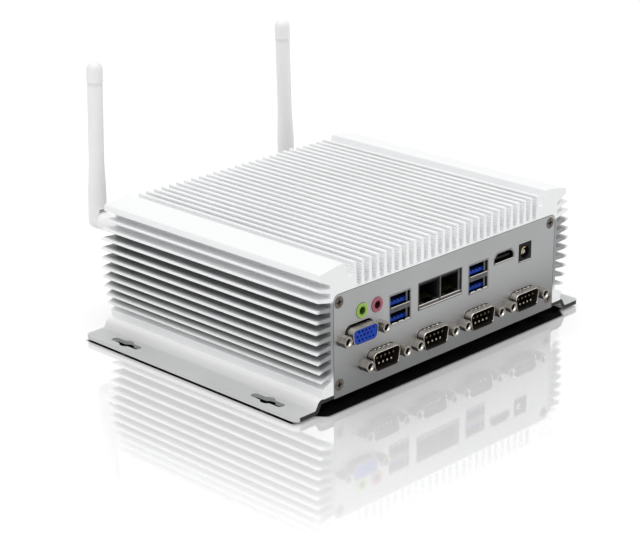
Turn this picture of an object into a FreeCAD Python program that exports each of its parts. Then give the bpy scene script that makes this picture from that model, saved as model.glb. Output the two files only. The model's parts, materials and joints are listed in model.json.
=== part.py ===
import FreeCAD, Part
import math
import os
import re
import Sketcher
from FreeCAD import Placement, Rotation, Vector

# A fanless computer in a finned aluminium extrusion, on a bent base plate with two mounting flanges.
# X runs along the socket panel, Y from that panel to the antenna end, Z up from the surface it stands on.
# Every piece is drawn with the socket panel's face at Y = 0. The last step of each one, place(), moves it
# back by ORIGIN, so that the origin lies under the middle of the whole object.

SIZES = {
    # feet and base plate
    "foot_height": 5.6,
    "foot_top_radius": 6.5,
    "foot_bottom_radius": 5.8,
    "foot_across": 62.0,
    "foot_inset": 20.0,
    "sheet_thickness": 2.0,
    "flange_rise": 4.3,
    "flange_edge": 101.4,
    "flange_corner": 3.2,
    "bend_start": 85.3,
    "bend_radius": 0.8,
    "bend_angle": 60.0,
    "plate_overhang": 0.8,
    "plate_setback": 0.4,
    "keyhole_across": 95.4,
    "keyhole_spacing": 97.7,
    "keyhole_length": 19.9,
    "keyhole_slot_width": 4.0,
    "keyhole_eye": 7.2,
    "base_screw_across": 81.5,
    "base_screw_inset": 14.0,
    "base_screw_length": 7.0,
    "base_thread_depth": 5.5,
    # finned housing, heights counted from its seat on the base plate
    "housing_length": 145.4,
    "side_face": 80.0,
    "wall_thickness": 2.6,
    "roof_height": 48.0,
    "roof_thickness": 3.7,
    "lug_bottom": 84.7,
    "lug_top": 85.45,
    "lug_height": 4.5,
    "lug_root": 7.1,
    "wing_root": 52.6,
    "wing_low_across": 86.8,
    "wing_low": 55.7,
    "wing_high_across": 86.2,
    "wing_high": 58.7,
    "wing_break": 74.8,
    "wing_inner": 71.2,
    "wing_top": 60.6,
    "notch_outer": 68.4,
    "notch_floor": 53.4,
    # top fins
    "fin_count": 27,
    "fin_span": 128.6,
    "fin_top": 59.7,
    "fin_tip": 1.5,
    "fin_root": 2.6,
    "fin_sink": 0.6,
    "tip_bevel": 0.45,
    "ripple_start": 1.0,
    "ripple_stop": 1.3,
    "ripple_depth": 0.28,
    "ripple_count": 8,
    # side fins, which open out like a fan
    "side_fin_count": 10,
    "side_fin_first": 49.8,
    "side_fin_pitch": 4.39,
    "side_fin_root": 2.2,
    "side_fin_tip": 1.4,
    "fan_top_angle": 12.5,
    "fan_bottom_angle": 14.5,
    "fan_reach": 89.85,
    "fan_radius": 96.0,
    "fan_middle": 31.3,
    # end panels
    "panel_thickness": 2.0,
    "panel_half": 78.0,
    "panel_top": 47.0,
    "panel_corner": 3.0,
    "panel_gap": 0.3,
    "panel_screw_across": 74.6,
    "panel_screw_high": 43.2,
    "panel_screw_low": 3.95,
    "screw_boss": 3.2,
    "screw_head": 2.7,
    "screw_head_height": 1.5,
    "screw_shank": 1.2,
    "screw_length": 8.0,
    "panel_thread_depth": 12.0,
    "thread_gap": 0.05,
    "hole_gap": 0.3,
    # D-shaped connectors
    "dsub_flange_width": 30.8,
    "dsub_flange_height": 12.5,
    "dsub_flange_thickness": 0.8,
    "com_shell_width": 17.8,
    "com_shell_height": 9.2,
    "com_hole_gap": 0.3,
    "vga_shell_width": 16.4,
    "vga_shell_height": 8.0,
    "vga_hole_gap": 1.0,
    "dsub_shell_wall": 0.5,
    "dsub_shell_reach": 4.1,
    "dsub_corner": 2.6,
    "dsub_body_depth": 8.0,
    "dsub_pin_spacing": 2.77,
    "dsub_row_spacing": 2.84,
    "dsub_pin_radius": 0.5,
    "dsub_pin_length": 4.3,
    "dsub_floor": 1.6,
    "vga_pin_spacing": 2.29,
    "vga_row_spacing": 1.98,
    "vga_hole_radius": 0.6,
    "screwlock_spacing": 24.99,
    "screwlock_flats": 4.76,
    "screwlock_reach": 5.5,
    "screwlock_bore": 1.42,
    "screwlock_mouth": 1.8,
    "com_first": -47.6,
    "com_pitch": 33.7,
    "com_height": 9.7,
    "vga_across": -61.8,
    "vga_height": 25.55,
    # sockets of the upper row
    "cage_wall": 0.4,
    "usb_width": 14.4,
    "usb_height": 14.8,
    "usb_depth": 17.0,
    "usb_left_across": -34.7,
    "usb_right_across": 20.45,
    "usb_centre": 29.7,
    "usb_port_height": 5.9,
    "usb_port_pitch": 8.0,
    "usb_tongue_width": 11.0,
    "usb_tongue_thickness": 1.9,
    "usb_tongue_depth": 8.6,
    "lan_width": 30.6,
    "lan_height": 13.2,
    "lan_depth": 21.0,
    "lan_across": -7.0,
    "lan_centre": 31.1,
    "lan_bay_width": 12.4,
    "lan_bay_height": 8.4,
    "lan_bay_depth": 13.0,
    "lan_latch_width": 6.4,
    "lan_latch_height": 2.4,
    "lan_insert_setback": 0.8,
    "hdmi_width": 15.2,
    "hdmi_top_width": 10.6,
    "hdmi_height": 5.4,
    "hdmi_cheek": 2.4,
    "hdmi_depth": 11.0,
    "hdmi_across": 39.35,
    "hdmi_centre": 35.1,
    "hdmi_tongue_width": 11.2,
    "hdmi_tongue_thickness": 1.2,
    "dc_width": 9.4,
    "dc_height": 9.2,
    "dc_depth": 14.0,
    "dc_across": 55.4,
    "dc_centre": 33.2,
    "dc_bore": 3.15,
    "dc_pin_radius": 1.05,
    "dc_bore_depth": 10.0,
    "audio_line_across": -60.1,
    "audio_mic_across": -50.2,
    "audio_centre": 35.4,
    "audio_ring_radius": 3.5,
    "audio_bore": 1.8,
    "audio_reach": 0.4,
    "audio_depth": 12.5,
    "audio_bore_depth": 11.0,
    "audio_body_width": 7.4,
    "socket_gap": 0.2,
    # antennas
    "antenna_across": 66.5,
    "antenna_height": 39.5,
    "antenna_setback": 30.7,
    "antenna_length": 80.8,
    "left_lean": 2.0,
    "right_lean": 1.2,
    "jack_radius": 3.17,
    "jack_reach": 9.0,
    "jack_flange_radius": 4.4,
    "jack_flange_thickness": 2.0,
    "jack_tail": 5.0,
    "jack_nut_flats": 8.0,
    "jack_nut_height": 2.2,
    "jack_washer_radius": 4.7,
    "jack_washer_thickness": 0.6,
    "coupling_setback": 2.8,
    "coupling_flats": 8.0,
    "coupling_length": 8.9,
    "neck_radius": 4.6,
    "neck_gap": 0.3,
    "spigot_length": 2.2,
    "running_gap": 0.05,
    "tongue_width": 4.0,
    "tongue_gap": 0.15,
    "hinge_pin_radius": 1.2,
    "whip_base_radius": 4.6,
    "whip_base_height": 13.9,
    "whip_shoulder": 30.0,
    "whip_stem_radius": 3.9,
    "whip_cap_radius": 4.1,
    "whip_cap_height": 10.9,
    "whip_groove": 0.35,
    "whip_groove_depth": 0.3,
    "fork_depth": 6.2,
    # power button and lamps on the antenna end
    "button_across": 20.0,
    "button_height": 24.0,
    "button_radius": 4.6,
    "button_reach": 3.2,
    "button_travel": 1.5,
    "button_length": 9.0,
    "button_gap": 0.08,
    "bezel_radius": 7.6,
    "bezel_reach": 1.4,
    "bezel_barrel": 6.0,
    "bezel_depth": 9.0,
    "lamp_radius": 1.5,
    "lamp_across": 4.0,
    "lamp_pitch": 6.0,
    "lamp_length": 6.0,
    "lamp_reach": 0.4,
    "lamp_flange": 2.2,
    # boards inside
    "board_thickness": 1.6,
    "board_height": 38.9,
    "board_half_width": 72.0,
    "board_setback": 3.2,
    "board_length": 112.0,
    "board_screw_across": 66.0,
    "board_screw_inset": 14.0,
    "standoff_radius": 2.75,
    "processor_size": 27.0,
    "processor_height": 1.5,
    "heat_block_size": 44.0,
    "core_across": 8.0,
    "core_setback": 66.0,
    "card_gap": 2.0,
    "card_thickness": 1.2,
    "memory_length": 67.6,
    "memory_width": 30.0,
    "storage_length": 50.8,
    "wireless_length": 26.8,
    "card_width": 30.0,
    "card_socket_height": 4.0,
    "card_socket_depth": 6.0,
    "coin_radius": 10.0,
    "coin_height": 3.2,
    "serial_board_height": 1.8,
    "serial_board_length": 24.0,
    "serial_board_setback": 3.4,
    "lead_radius": 0.65,
    "lead_bend": 3.0,
    "lead_drop": 30.0,
    "left_lead_run": 9.0,
    "right_lead_run": 13.0,
    "plug_spread": 6.0,
    "memory_across": -30.0,
    "memory_setback": 37.2,
    "storage_across": 48.0,
    "storage_setback": 33.2,
    "wireless_across": -44.0,
    "wireless_setback": 75.2,
    "coin_across": 12.0,
    "coin_setback": 99.2,
}

SEAT = "(foot_height + sheet_thickness)"
PLATE_LENGTH = "(housing_length + plate_overhang)"
ORIGIN = "((housing_length + antenna_setback + whip_base_radius - screwlock_reach) / 2)"

doc = FreeCAD.newDocument("fanless_computer")
sheet = doc.addObject("Spreadsheet::Sheet", "Size")
for row, (name, number) in enumerate(SIZES.items(), 1):
    sheet.set(f"A{row}", name)
    sheet.set(f"B{row}", str(number))
    sheet.setAlias(f"B{row}", name)
doc.recompute()

pieces = []
stands = {}
waiting = {}


# ---- formulas and small helpers ----

def formula(text):
    """The text with each size's name pointed at the sheet."""
    return re.sub(r"\b[a-z]+(?:_[a-z]+)+\b", r"Size.\g<0>", str(text))


def value(text):
    """What a formula comes to now."""
    return float(sheet.evalExpression(formula(text)))


def bind(thing, **settings):
    """Bind properties of an object, such as Length, to formulas."""
    for name, text in settings.items():
        thing.setExpression(name.replace("__", "."), formula(text))


def shift(thing, x=0, y=0, z=0):
    """Bind an object's place to formulas."""
    stands[thing.Name] = (x, y, z)
    bind(thing, Placement__Base__x=x, Placement__Base__y=y, Placement__Base__z=z)


def place(thing, label, x=0, y=0, z=0):
    """Name a finished sub-part and carry it from where it stands to where it belongs in the whole."""
    thing.Label = label
    own = stands.get(thing.Name, (0, 0, 0))
    shift(thing, f"{own[0]} + {x}", f"{own[1]} + {y} - {ORIGIN}", f"{own[2]} + {z}")
    pieces.append(thing)
    return thing


# ---- sketches ----

def plane(body, role):
    """One of the body's own planes or axes."""
    return next(item for item in body.Origin.OriginFeatures if item.Role == role)


def new_sketch(body, name, role, offset=None):
    """A sketch on one of the body's own planes, moved along the plane's normal by a formula."""
    sketch = body.newObject("Sketcher::SketchObject", name)
    sketch.AttachmentSupport = [(plane(body, role), "")]
    sketch.MapMode = "FlatFace"
    if offset is not None:
        bind(sketch, AttachmentOffset__Base__z=offset)
    return sketch


def hold(sketch, constraint, text=None):
    """Keep a constraint, with the formula that drives it, until the sketch is closed."""
    waiting.setdefault(sketch.Name, []).append((constraint, text))


def pin_point(sketch, geometry, point, x, y):
    """Hold a sketch point at two formulas."""
    for kind, text in (("DistanceX", x), ("DistanceY", y)):
        hold(sketch, Sketcher.Constraint(kind, -1, 1, geometry, point, value(text)), text)


def close_sketch(sketch):
    """Give a sketch all its constraints at once, which solves it once."""
    held = waiting.pop(sketch.Name)
    numbers = sketch.addConstraint([constraint for constraint, _ in held])
    for number, (_, text) in zip(numbers, held):
        if text is not None:
            sketch.setExpression(f"Constraints[{number}]", formula(text))


def rounding(before, corner, after, radius):
    """Where a rounded corner starts and ends, and the middle of its arc."""
    back = (before - corner).normalize()
    ahead = (after - corner).normalize()
    half = back.getAngle(ahead) / 2
    reach = radius / math.tan(half)
    bisector = (back + ahead).normalize()
    centre = corner + bisector * (radius / math.sin(half))
    return corner + back * reach, centre - bisector * radius, corner + ahead * reach


def loop(sketch, corners):
    """A closed outline. Each corner is (across, up), or (across, up, radius) where it is rounded."""
    points = [Vector(value(corner[0]), value(corner[1]), 0) for corner in corners]
    count = len(corners)
    starts, ends, arcs = list(points), list(points), {}
    for i, corner in enumerate(corners):
        if len(corner) == 3:
            ends[i], arcs[i], starts[i] = rounding(
                points[i - 1], points[i], points[(i + 1) % count], value(corner[2]))
    lines = [sketch.addGeometry(Part.LineSegment(starts[i], ends[(i + 1) % count])) for i in range(count)]
    for i, corner in enumerate(corners):
        before, after = lines[i - 1], lines[i]
        if i not in arcs:
            hold(sketch, Sketcher.Constraint("Coincident", before, 2, after, 1))
            pin_point(sketch, after, 1, corner[0], corner[1])
            continue
        arc = sketch.addGeometry(Part.Arc(ends[i], arcs[i], starts[i]))
        first_is_end = sketch.getPoint(arc, 1).distanceToPoint(ends[i]) < 1e-6
        near, far = (1, 2) if first_is_end else (2, 1)
        hold(sketch, Sketcher.Constraint("Tangent", before, 2, arc, near))
        hold(sketch, Sketcher.Constraint("Tangent", after, 1, arc, far))
        hold(sketch, Sketcher.Constraint("Radius", arc, value(corner[2])), corner[2])
        tip = sketch.addGeometry(Part.Point(points[i]), True)
        hold(sketch, Sketcher.Constraint("PointOnObject", tip, 1, before))
        hold(sketch, Sketcher.Constraint("PointOnObject", tip, 1, after))
        pin_point(sketch, tip, 1, corner[0], corner[1])


def circle(sketch, x, y, radius):
    """A circle in a sketch."""
    ring = sketch.addGeometry(Part.Circle(Vector(value(x), value(y), 0), Vector(0, 0, 1), value(radius)))
    pin_point(sketch, ring, 3, x, y)
    hold(sketch, Sketcher.Constraint("Radius", ring, value(radius)), radius)


def rectangle(left, right, low, high, radius=None):
    """The four corners of an upright rectangle."""
    corners = [(left, low), (right, low), (right, high), (left, high)]
    return [corner + (radius,) for corner in corners] if radius else corners


def mirrored(half):
    """An outline from its right half, whose points run from the bottom up."""
    return half + [(f"-({corner[0]})",) + tuple(corner[1:]) for corner in reversed(half)]


def feature(kind, sketch, length):
    """Pad or pocket a sketch towards +Y or +Z, whichever its plane faces."""
    close_sketch(sketch)
    body = sketch.getParentGeoFeatureGroup()
    made = body.newObject(f"PartDesign::{kind}", f"{sketch.Name}_{kind}")
    made.Profile = sketch
    bind(made, Length=length)
    faces_back = sketch.AttachmentSupport[0][0].Role == "XZ_Plane"
    made.Reversed = faces_back == (kind == "Pad")
    sketch.Visibility = False
    return made


def new_body(name):
    return doc.addObject("PartDesign::Body", name)


# ---- primitives ----

TURN_BACK = Rotation(Vector(1, 0, 0), -90)


def block(name, left, right, front, back, low, high):
    """A box between six formulas."""
    made = doc.addObject("Part::Box", name)
    bind(made, Length=f"({right}) - ({left})", Width=f"({back}) - ({front})", Height=f"({high}) - ({low})")
    shift(made, left, front, low)
    return made


def rod(name, radius, length, x=0, y=0, z=0, upright=False):
    """A cylinder that runs back from a point, or up from it."""
    made = doc.addObject("Part::Cylinder", name)
    bind(made, Radius=radius, Height=length)
    made.Placement.Rotation = Rotation() if upright else TURN_BACK
    shift(made, x, y, z)
    return made


def taper(name, first, second, length, x=0, y=0, z=0, upright=False):
    """A cone that runs back from a point, or up from it."""
    made = doc.addObject("Part::Cone", name)
    bind(made, Radius1=first, Radius2=second, Height=length)
    made.Placement.Rotation = Rotation() if upright else TURN_BACK
    shift(made, x, y, z)
    return made


def hexagon(name, flats, length, x=0, y=0, z=0):
    """A hexagonal bar that runs back from a point."""
    made = doc.addObject("Part::Prism", name)
    made.Polygon = 6
    bind(made, Circumradius=f"({flats}) / sqrt(3)", Height=length)
    made.Placement.Rotation = TURN_BACK
    shift(made, x, y, z)
    return made


def unite(name, *parts):
    made = doc.addObject("Part::MultiFuse", name)
    made.Shapes = list(parts)
    return made


def subtract(name, base, *tools):
    made = doc.addObject("Part::Cut", name)
    made.Base = base
    made.Tool = tools[0] if len(tools) == 1 else unite(f"{name}_tools", *tools)
    return made


def group(name, parts):
    """Separate solids kept as one sub-part."""
    made = doc.addObject("Part::Compound", name)
    made.Links = list(parts)
    return made


# ---- housing ----

PANEL_SCREWS = [(side, row) for side in ("", "-") for row in ("panel_screw_high", "panel_screw_low")]
BASE_SCREW_ROWS = ["base_screw_inset", "housing_length / 2", "housing_length - base_screw_inset"]


def panel_outline(gap="0"):
    """The end panel's outline above the seat, and down to the base plate's underside."""
    half = [(f"panel_half + {gap}", f"-sheet_thickness - 2 * ({gap})"),
            (f"panel_half + {gap}", f"panel_top + {gap}", f"panel_corner + {gap}")]
    return mirrored(half)


def rippled_fin():
    """A top fin's outline: both flanks taper and carry a row of small saw teeth."""
    count = int(value("ripple_count"))
    height = "(fin_top - roof_height)"
    flank = [("fin_root / 2", "roof_height - fin_sink")]
    for step in range(2 * count + 1):
        up = f"(ripple_start + ({height} - ripple_start - ripple_stop) * {step / (2 * count)})"
        depth = "ripple_depth" if step % 2 else "0"
        flank.append((f"fin_root / 2 - (fin_root - fin_tip) / 2 * {up} / {height} - {depth}",
                      f"roof_height + {up}"))
    flank.append(("fin_tip / 2", "fin_top - tip_bevel"))
    flank.append(("fin_tip / 2 - tip_bevel", "fin_top"))
    return flank


def side_fin(number):
    """One fin of the fan: its root on the side wall, its tip on the arc that all the tips share."""
    last = int(value("side_fin_count")) - 1
    angle = f"(fan_top_angle - (fan_top_angle + fan_bottom_angle) * {number / last})"
    root = f"(side_fin_first - side_fin_pitch * {number})"
    rough = f"({root} + 9 * tan({angle}) - fan_middle)"
    tip = f"(fan_reach - fan_radius + sqrt(fan_radius * fan_radius - {rough} * {rough}))"
    end = f"({root} + ({tip} - side_face) * tan({angle}))"
    inner = f"({root} - tan({angle}))"
    return [("side_face - 1", f"{inner} - side_fin_root / 2"),
            (f"{tip} - 0.6", f"{end} - side_fin_tip / 2"),
            (tip, f"{end} - side_fin_tip / 2 + tip_bevel"),
            (tip, f"{end} + side_fin_tip / 2 - tip_bevel"),
            (f"{tip} - 0.6", f"{end} + side_fin_tip / 2"),
            ("side_face - 1", f"{inner} + side_fin_root / 2")]


def finned_housing():
    body = new_body("finned_housing")
    section = new_sketch(body, "HousingSection", "XZ_Plane")
    loop(section, mirrored([
        ("lug_bottom", "0"),
        ("lug_top", "lug_height", "0.4"),
        ("side_face", "lug_root", "0.5"),
        ("side_face", "wing_root", "0.8"),
        ("wing_low_across", "wing_low", "0.5"),
        ("wing_high_across", "wing_high", "0.4"),
        ("wing_break", "wing_top", "3"),
        ("wing_inner", "wing_top", "0.4"),
        ("notch_outer", "notch_floor", "0.7"),
        ("fin_span / 2", "notch_floor"),
        ("fin_span / 2", "roof_height")]))
    feature("Pad", section, "housing_length")

    cavity = new_sketch(body, "Cavity", "XZ_Plane")
    inside = "side_face - wall_thickness"
    loop(cavity, mirrored([(inside, "-1"), (inside, "roof_height - roof_thickness", "1")]))
    feature("Pocket", cavity, "housing_length")

    channels = new_sketch(body, "ScrewChannels", "XZ_Plane")
    for side, row in PANEL_SCREWS:
        circle(channels, f"{side}panel_screw_across", row, "screw_boss")
    feature("Pad", channels, "housing_length")

    for name, start in (("FrontSeat", "0"), ("RearSeat", "housing_length - panel_thickness")):
        seat = new_sketch(body, name, "XZ_Plane", f"-({start})")
        loop(seat, panel_outline("panel_gap"))
        feature("Pocket", seat, "panel_thickness")

    for name, start in (("FrontThreads", "0"), ("RearThreads", "housing_length - panel_thread_depth")):
        threads = new_sketch(body, name, "XZ_Plane", f"-({start})")
        for side, row in PANEL_SCREWS:
            circle(threads, f"{side}panel_screw_across", row, "screw_shank + thread_gap")
        feature("Pocket", threads, "panel_thread_depth")

    holes = new_sketch(body, "BaseThreads", "XY_Plane")
    for side in ("", "-"):
        for row in BASE_SCREW_ROWS:
            circle(holes, f"{side}base_screw_across", row, "screw_shank + thread_gap")
    feature("Pocket", holes, "base_thread_depth")

    fins = new_sketch(body, "SideFins", "XZ_Plane")
    for number in range(int(value("side_fin_count"))):
        loop(fins, side_fin(number))
    right_fins = feature("Pad", fins, "housing_length")
    left_fins = body.newObject("PartDesign::Mirrored", "LeftSideFins")
    left_fins.Originals = [right_fins]
    left_fins.MirrorPlane = (plane(body, "YZ_Plane"), [""])
    body.Tip = left_fins

    first = new_sketch(body, "TopFin", "XZ_Plane")
    loop(first, [(f"{x} - fin_span / 2", *rest) for x, *rest in mirrored(rippled_fin())])
    top_fin = feature("Pad", first, "housing_length")
    row = body.newObject("PartDesign::LinearPattern", "TopFins")
    row.Originals = [top_fin]
    row.Direction = (first, ["H_Axis"])
    bind(row, Length="fin_span", Occurrences="fin_count")
    body.Tip = row
    return place(body, "finned_housing", z=SEAT)


def end_panel(name):
    """A flat end panel with rounded upper corners and holes for its screws."""
    body = new_body(name)
    sketch = new_sketch(body, f"{name}_face", "XZ_Plane")
    loop(sketch, panel_outline())
    for side, row in PANEL_SCREWS:
        circle(sketch, f"{side}panel_screw_across", row, "screw_shank + hole_gap")
    return body, feature("Pad", sketch, "panel_thickness")


def opening(body, name, *outlines):
    """Cut outlines right through a panel. A round one is given as (x, z, radius)."""
    sketch = new_sketch(body, name, "XZ_Plane")
    for outline in outlines:
        if isinstance(outline, tuple):
            circle(sketch, *outline)
        else:
            loop(sketch, outline)
    return feature("Pocket", sketch, "panel_thickness")


def countersinks(body, panel, y):
    """Open the screw holes of a panel into countersinks on its outer face at y."""
    edges = []
    for number, edge in enumerate(panel.Shape.Edges, 1):
        if not isinstance(edge.Curve, Part.Circle) or abs(edge.Curve.Center.y - value(y)) > 1e-4:
            continue
        across, height = abs(edge.Curve.Center.x), edge.Curve.Center.z
        heights = [value("panel_screw_high"), value("panel_screw_low")]
        if abs(across - value("panel_screw_across")) < 1e-4 and min(abs(height - h) for h in heights) < 1e-4:
            edges.append(f"Edge{number}")
    bevel = body.newObject("PartDesign::Chamfer", f"{body.Name}_countersinks")
    bevel.Base = (panel, edges)
    bind(bevel, Size="screw_head_height - 0.1")
    return bevel


D_SHAPES = [("vga_across", "vga_height", "vga"), *(
    (f"com_first + {number} * com_pitch", "com_height", f"com_{number + 1}") for number in range(4))]


def d_outline(width, height, corner):
    """The D-shaped outline: its sides lean in 10 degrees towards the bottom. Width is its widest."""
    tip = f"(({width}) / 2 + ({corner}) * (tan(10) + 1 / cos(10) - 1))"
    half = [(f"{tip} - ({height}) * tan(10)", f"-({height}) / 2", corner),
            (tip, f"({height}) / 2", corner)]
    return mirrored(half)


def moved(corners, x, z):
    """An outline about its own middle, carried to x and z."""
    return [(f"{x} + {corner[0]}", f"{z} + {corner[1]}", *corner[2:]) for corner in corners]


def hdmi_outline(grow="0"):
    """The socket's outline, with both upper corners cut back."""
    half = [(f"hdmi_width / 2 + {grow}", f"-hdmi_height / 2 - {grow}", "0.4"),
            (f"hdmi_width / 2 + {grow}", f"hdmi_height / 2 - hdmi_cheek + {grow} / 2", "0.5"),
            (f"hdmi_top_width / 2 + {grow}", f"hdmi_height / 2 + {grow}", "0.5")]
    return mirrored(half)


def slot_for(width, height, x, z):
    """A rectangular cut-out that clears a socket all round."""
    return moved(rectangle(f"-{width} / 2 - socket_gap", f"{width} / 2 + socket_gap",
                           f"-{height} / 2 - socket_gap", f"{height} / 2 + socket_gap", "0.3"), x, z)


def io_panel():
    body, face = end_panel("io_panel")
    doc.recompute()
    countersinks(body, face, "0")
    for x, z, name in D_SHAPES:
        kind = name[:3]
        shell = d_outline(f"{kind}_shell_width + 2 * {kind}_hole_gap",
                          f"{kind}_shell_height + 2 * {kind}_hole_gap", f"dsub_corner + {kind}_hole_gap")
        posts = [(f"{x} {side} screwlock_spacing / 2", z, "screwlock_bore + 0.4 + socket_gap")
                 for side in ("-", "+")]
        opening(body, f"{name}_opening", moved(shell, x, z), *posts)
    opening(body, "usb_openings", *(slot_for("usb_width", "usb_height", x, "usb_centre")
                                    for x in ("usb_left_across", "usb_right_across")))
    opening(body, "lan_opening", slot_for("lan_width", "lan_height", "lan_across", "lan_centre"))
    opening(body, "dc_opening", slot_for("dc_width", "dc_height", "dc_across", "dc_centre"))
    opening(body, "hdmi_opening", moved(hdmi_outline("socket_gap"), "hdmi_across", "hdmi_centre"))
    body.Tip = opening(body, "audio_openings", *(
        (x, "audio_centre", "audio_ring_radius + socket_gap")
        for x in ("audio_line_across", "audio_mic_across")))
    return place(body, "io_panel", z=SEAT)


LAMPS = ["-lamp_across", "-lamp_across - lamp_pitch"]


def rear_panel():
    body, face = end_panel("rear_panel")
    doc.recompute()
    countersinks(body, face, "panel_thickness")
    opening(body, "jack_openings", *((f"{side}antenna_across", "antenna_height", "jack_radius + socket_gap")
                                     for side in ("", "-")))
    opening(body, "button_opening", ("button_across", "button_height", "bezel_barrel + socket_gap"))
    body.Tip = opening(body, "lamp_openings", *((x, "button_height", "lamp_radius + running_gap")
                                                for x in LAMPS))
    return place(body, "rear_panel", y="housing_length - panel_thickness", z=SEAT)


def panel_screws(label, outer, towards):
    """Four countersunk screws in the corners of an end panel, driven towards +Y (1) or -Y (-1)."""
    screws = []
    for number, (side, row) in enumerate(PANEL_SCREWS, 1):
        x = f"{side}panel_screw_across"
        head = taper(f"{label}_{number}_head", "screw_head", "screw_shank", "screw_head_height")
        shank = rod(f"{label}_{number}_shank", "screw_shank", "screw_length")
        screw = unite(f"{label}_{number}", head, shank)
        screw.Placement.Rotation = Rotation(Vector(0, 0, 1), 0 if towards > 0 else 180)
        shift(screw, x, outer, row)
        screws.append(screw)
    return place(group(label, screws), label, z=SEAT)


# ---- base plate and feet ----

def bent_section():
    """The plate's section: flat in the middle, and a double bend down to a flange on each side."""
    fall = "(flange_rise - (2 * bend_radius + sheet_thickness) * (1 - cos(bend_angle)))"
    run = f"({fall} / tan(bend_angle))"
    outer = "(bend_radius + sheet_thickness)"
    # corner points of the two straight-line profiles; the bends' radii round them off
    step = f"({outer} * tan(bend_angle / 2))"
    first = f"(bend_start + {step})"
    second = f"({first} + flange_rise / tan(bend_angle))"
    inset = "(sheet_thickness * tan(bend_angle / 2))"
    return [(f"{first} - {inset}", "-sheet_thickness", "bend_radius"),
            (f"{second} - {inset}", "-sheet_thickness - flange_rise", outer),
            ("flange_edge", "-sheet_thickness - flange_rise"),
            ("flange_edge", "-flange_rise"),
            (second, "-flange_rise", "bend_radius"),
            (first, "0", outer)]


def base_plate():
    body = new_body("base_plate")
    section = new_sketch(body, "PlateSection", "XZ_Plane", "-plate_setback")
    right = bent_section()
    left = [(f"-({x})", *rest) for x, *rest in right]
    loop(section, right + list(reversed(left)))
    feature("Pad", section, PLATE_LENGTH)

    middle = f"(plate_setback + {PLATE_LENGTH} / 2)"
    rows = [f"{middle} - keyhole_spacing / 2", f"{middle} + keyhole_spacing / 2"]
    places = [(f"{side}keyhole_across", row) for side in ("", "-") for row in rows]
    slots = new_sketch(body, "KeyholeSlots", "XY_Plane", "-flange_rise - sheet_thickness - 1")
    eyes = new_sketch(body, "KeyholeEyes", "XY_Plane", "-flange_rise - sheet_thickness - 1")
    for x, y in places:
        loop(slots, moved(rectangle("-keyhole_slot_width / 2", "keyhole_slot_width / 2",
                                    "-keyhole_length / 2", "keyhole_length / 2",
                                    "keyhole_slot_width / 2 - 0.01"), x, y))
        circle(eyes, x, y, "keyhole_eye / 2")
    feature("Pocket", slots, "sheet_thickness + 2")
    feature("Pocket", eyes, "sheet_thickness + 2")

    ends = new_sketch(body, "PanelNotches", "XY_Plane", "-sheet_thickness - 1")
    across = "(panel_half + panel_gap)"
    loop(ends, rectangle(f"-{across}", across, "plate_setback - 1", "panel_thickness + panel_gap"))
    loop(ends, rectangle(f"-{across}", across, "housing_length - panel_thickness - panel_gap",
                         f"plate_setback + {PLATE_LENGTH} + 1"))
    feature("Pocket", ends, "sheet_thickness + 2")

    holes = new_sketch(body, "PlateScrewHoles", "XY_Plane", "-sheet_thickness")
    for side in ("", "-"):
        for row in BASE_SCREW_ROWS:
            circle(holes, f"{side}base_screw_across", row, "screw_shank + hole_gap")
    drilled = feature("Pocket", holes, "sheet_thickness")
    doc.recompute()

    low = -value("sheet_thickness")
    rims = [f"Edge{number}" for number, edge in enumerate(drilled.Shape.Edges, 1)
            if isinstance(edge.Curve, Part.Circle)
            and abs(abs(edge.Curve.Center.x) - value("base_screw_across")) < 1e-4
            and abs(edge.Curve.Center.z - low) < 1e-4]
    bevel = body.newObject("PartDesign::Chamfer", "PlateCountersinks")
    bevel.Base = (drilled, rims)
    bind(bevel, Size="screw_head_height - 0.1")
    doc.recompute()
    corners = [f"Edge{number}" for number, edge in enumerate(bevel.Shape.Edges, 1)
               if not isinstance(edge.Curve, Part.Circle)
               and abs(edge.tangentAt(edge.FirstParameter).z) > 0.99
               and abs(abs(edge.Vertexes[0].X) - value("flange_edge")) < 1e-4]
    rounded = body.newObject("PartDesign::Fillet", "FlangeCorners")
    rounded.Base = (bevel, corners)
    bind(rounded, Radius="flange_corner")
    body.Tip = rounded
    return place(body, "base_plate", z=SEAT)


def base_screws():
    screws = []
    for side in ("", "-"):
        for row in BASE_SCREW_ROWS:
            name = f"base_screw_{len(screws) + 1}"
            head = taper(f"{name}_head", "screw_head", "screw_shank", "screw_head_height", upright=True)
            shank = rod(f"{name}_shank", "screw_shank", "base_screw_length", upright=True)
            screw = unite(name, head, shank)
            shift(screw, f"{side}base_screw_across", row, "foot_height")
            screws.append(screw)
    return place(group("base_screws", screws), "base_screws")


def rubber_feet():
    number = 0
    for side in ("-", ""):
        for row in ("foot_inset", "housing_length - foot_inset"):
            number += 1
            foot = taper(f"rubber_foot_{number}", "foot_bottom_radius", "foot_top_radius", "foot_height",
                         upright=True)
            place(foot, f"rubber_foot_{number}", f"{side}foot_across", row)


# ---- D-shaped connectors ----

FLANGE_FRONT = "panel_thickness"
FLANGE_BACK = "(panel_thickness + dsub_flange_thickness)"
INSIDE = "(2 * dsub_shell_wall)"


def dsub_inner(kind, gap="0"):
    """The outline inside a D-shaped shell's wall. The kind is com or vga."""
    return d_outline(f"{kind}_shell_width - {INSIDE} - {gap}", f"{kind}_shell_height - {INSIDE} - {gap}",
                     "dsub_corner - dsub_shell_wall")


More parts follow.
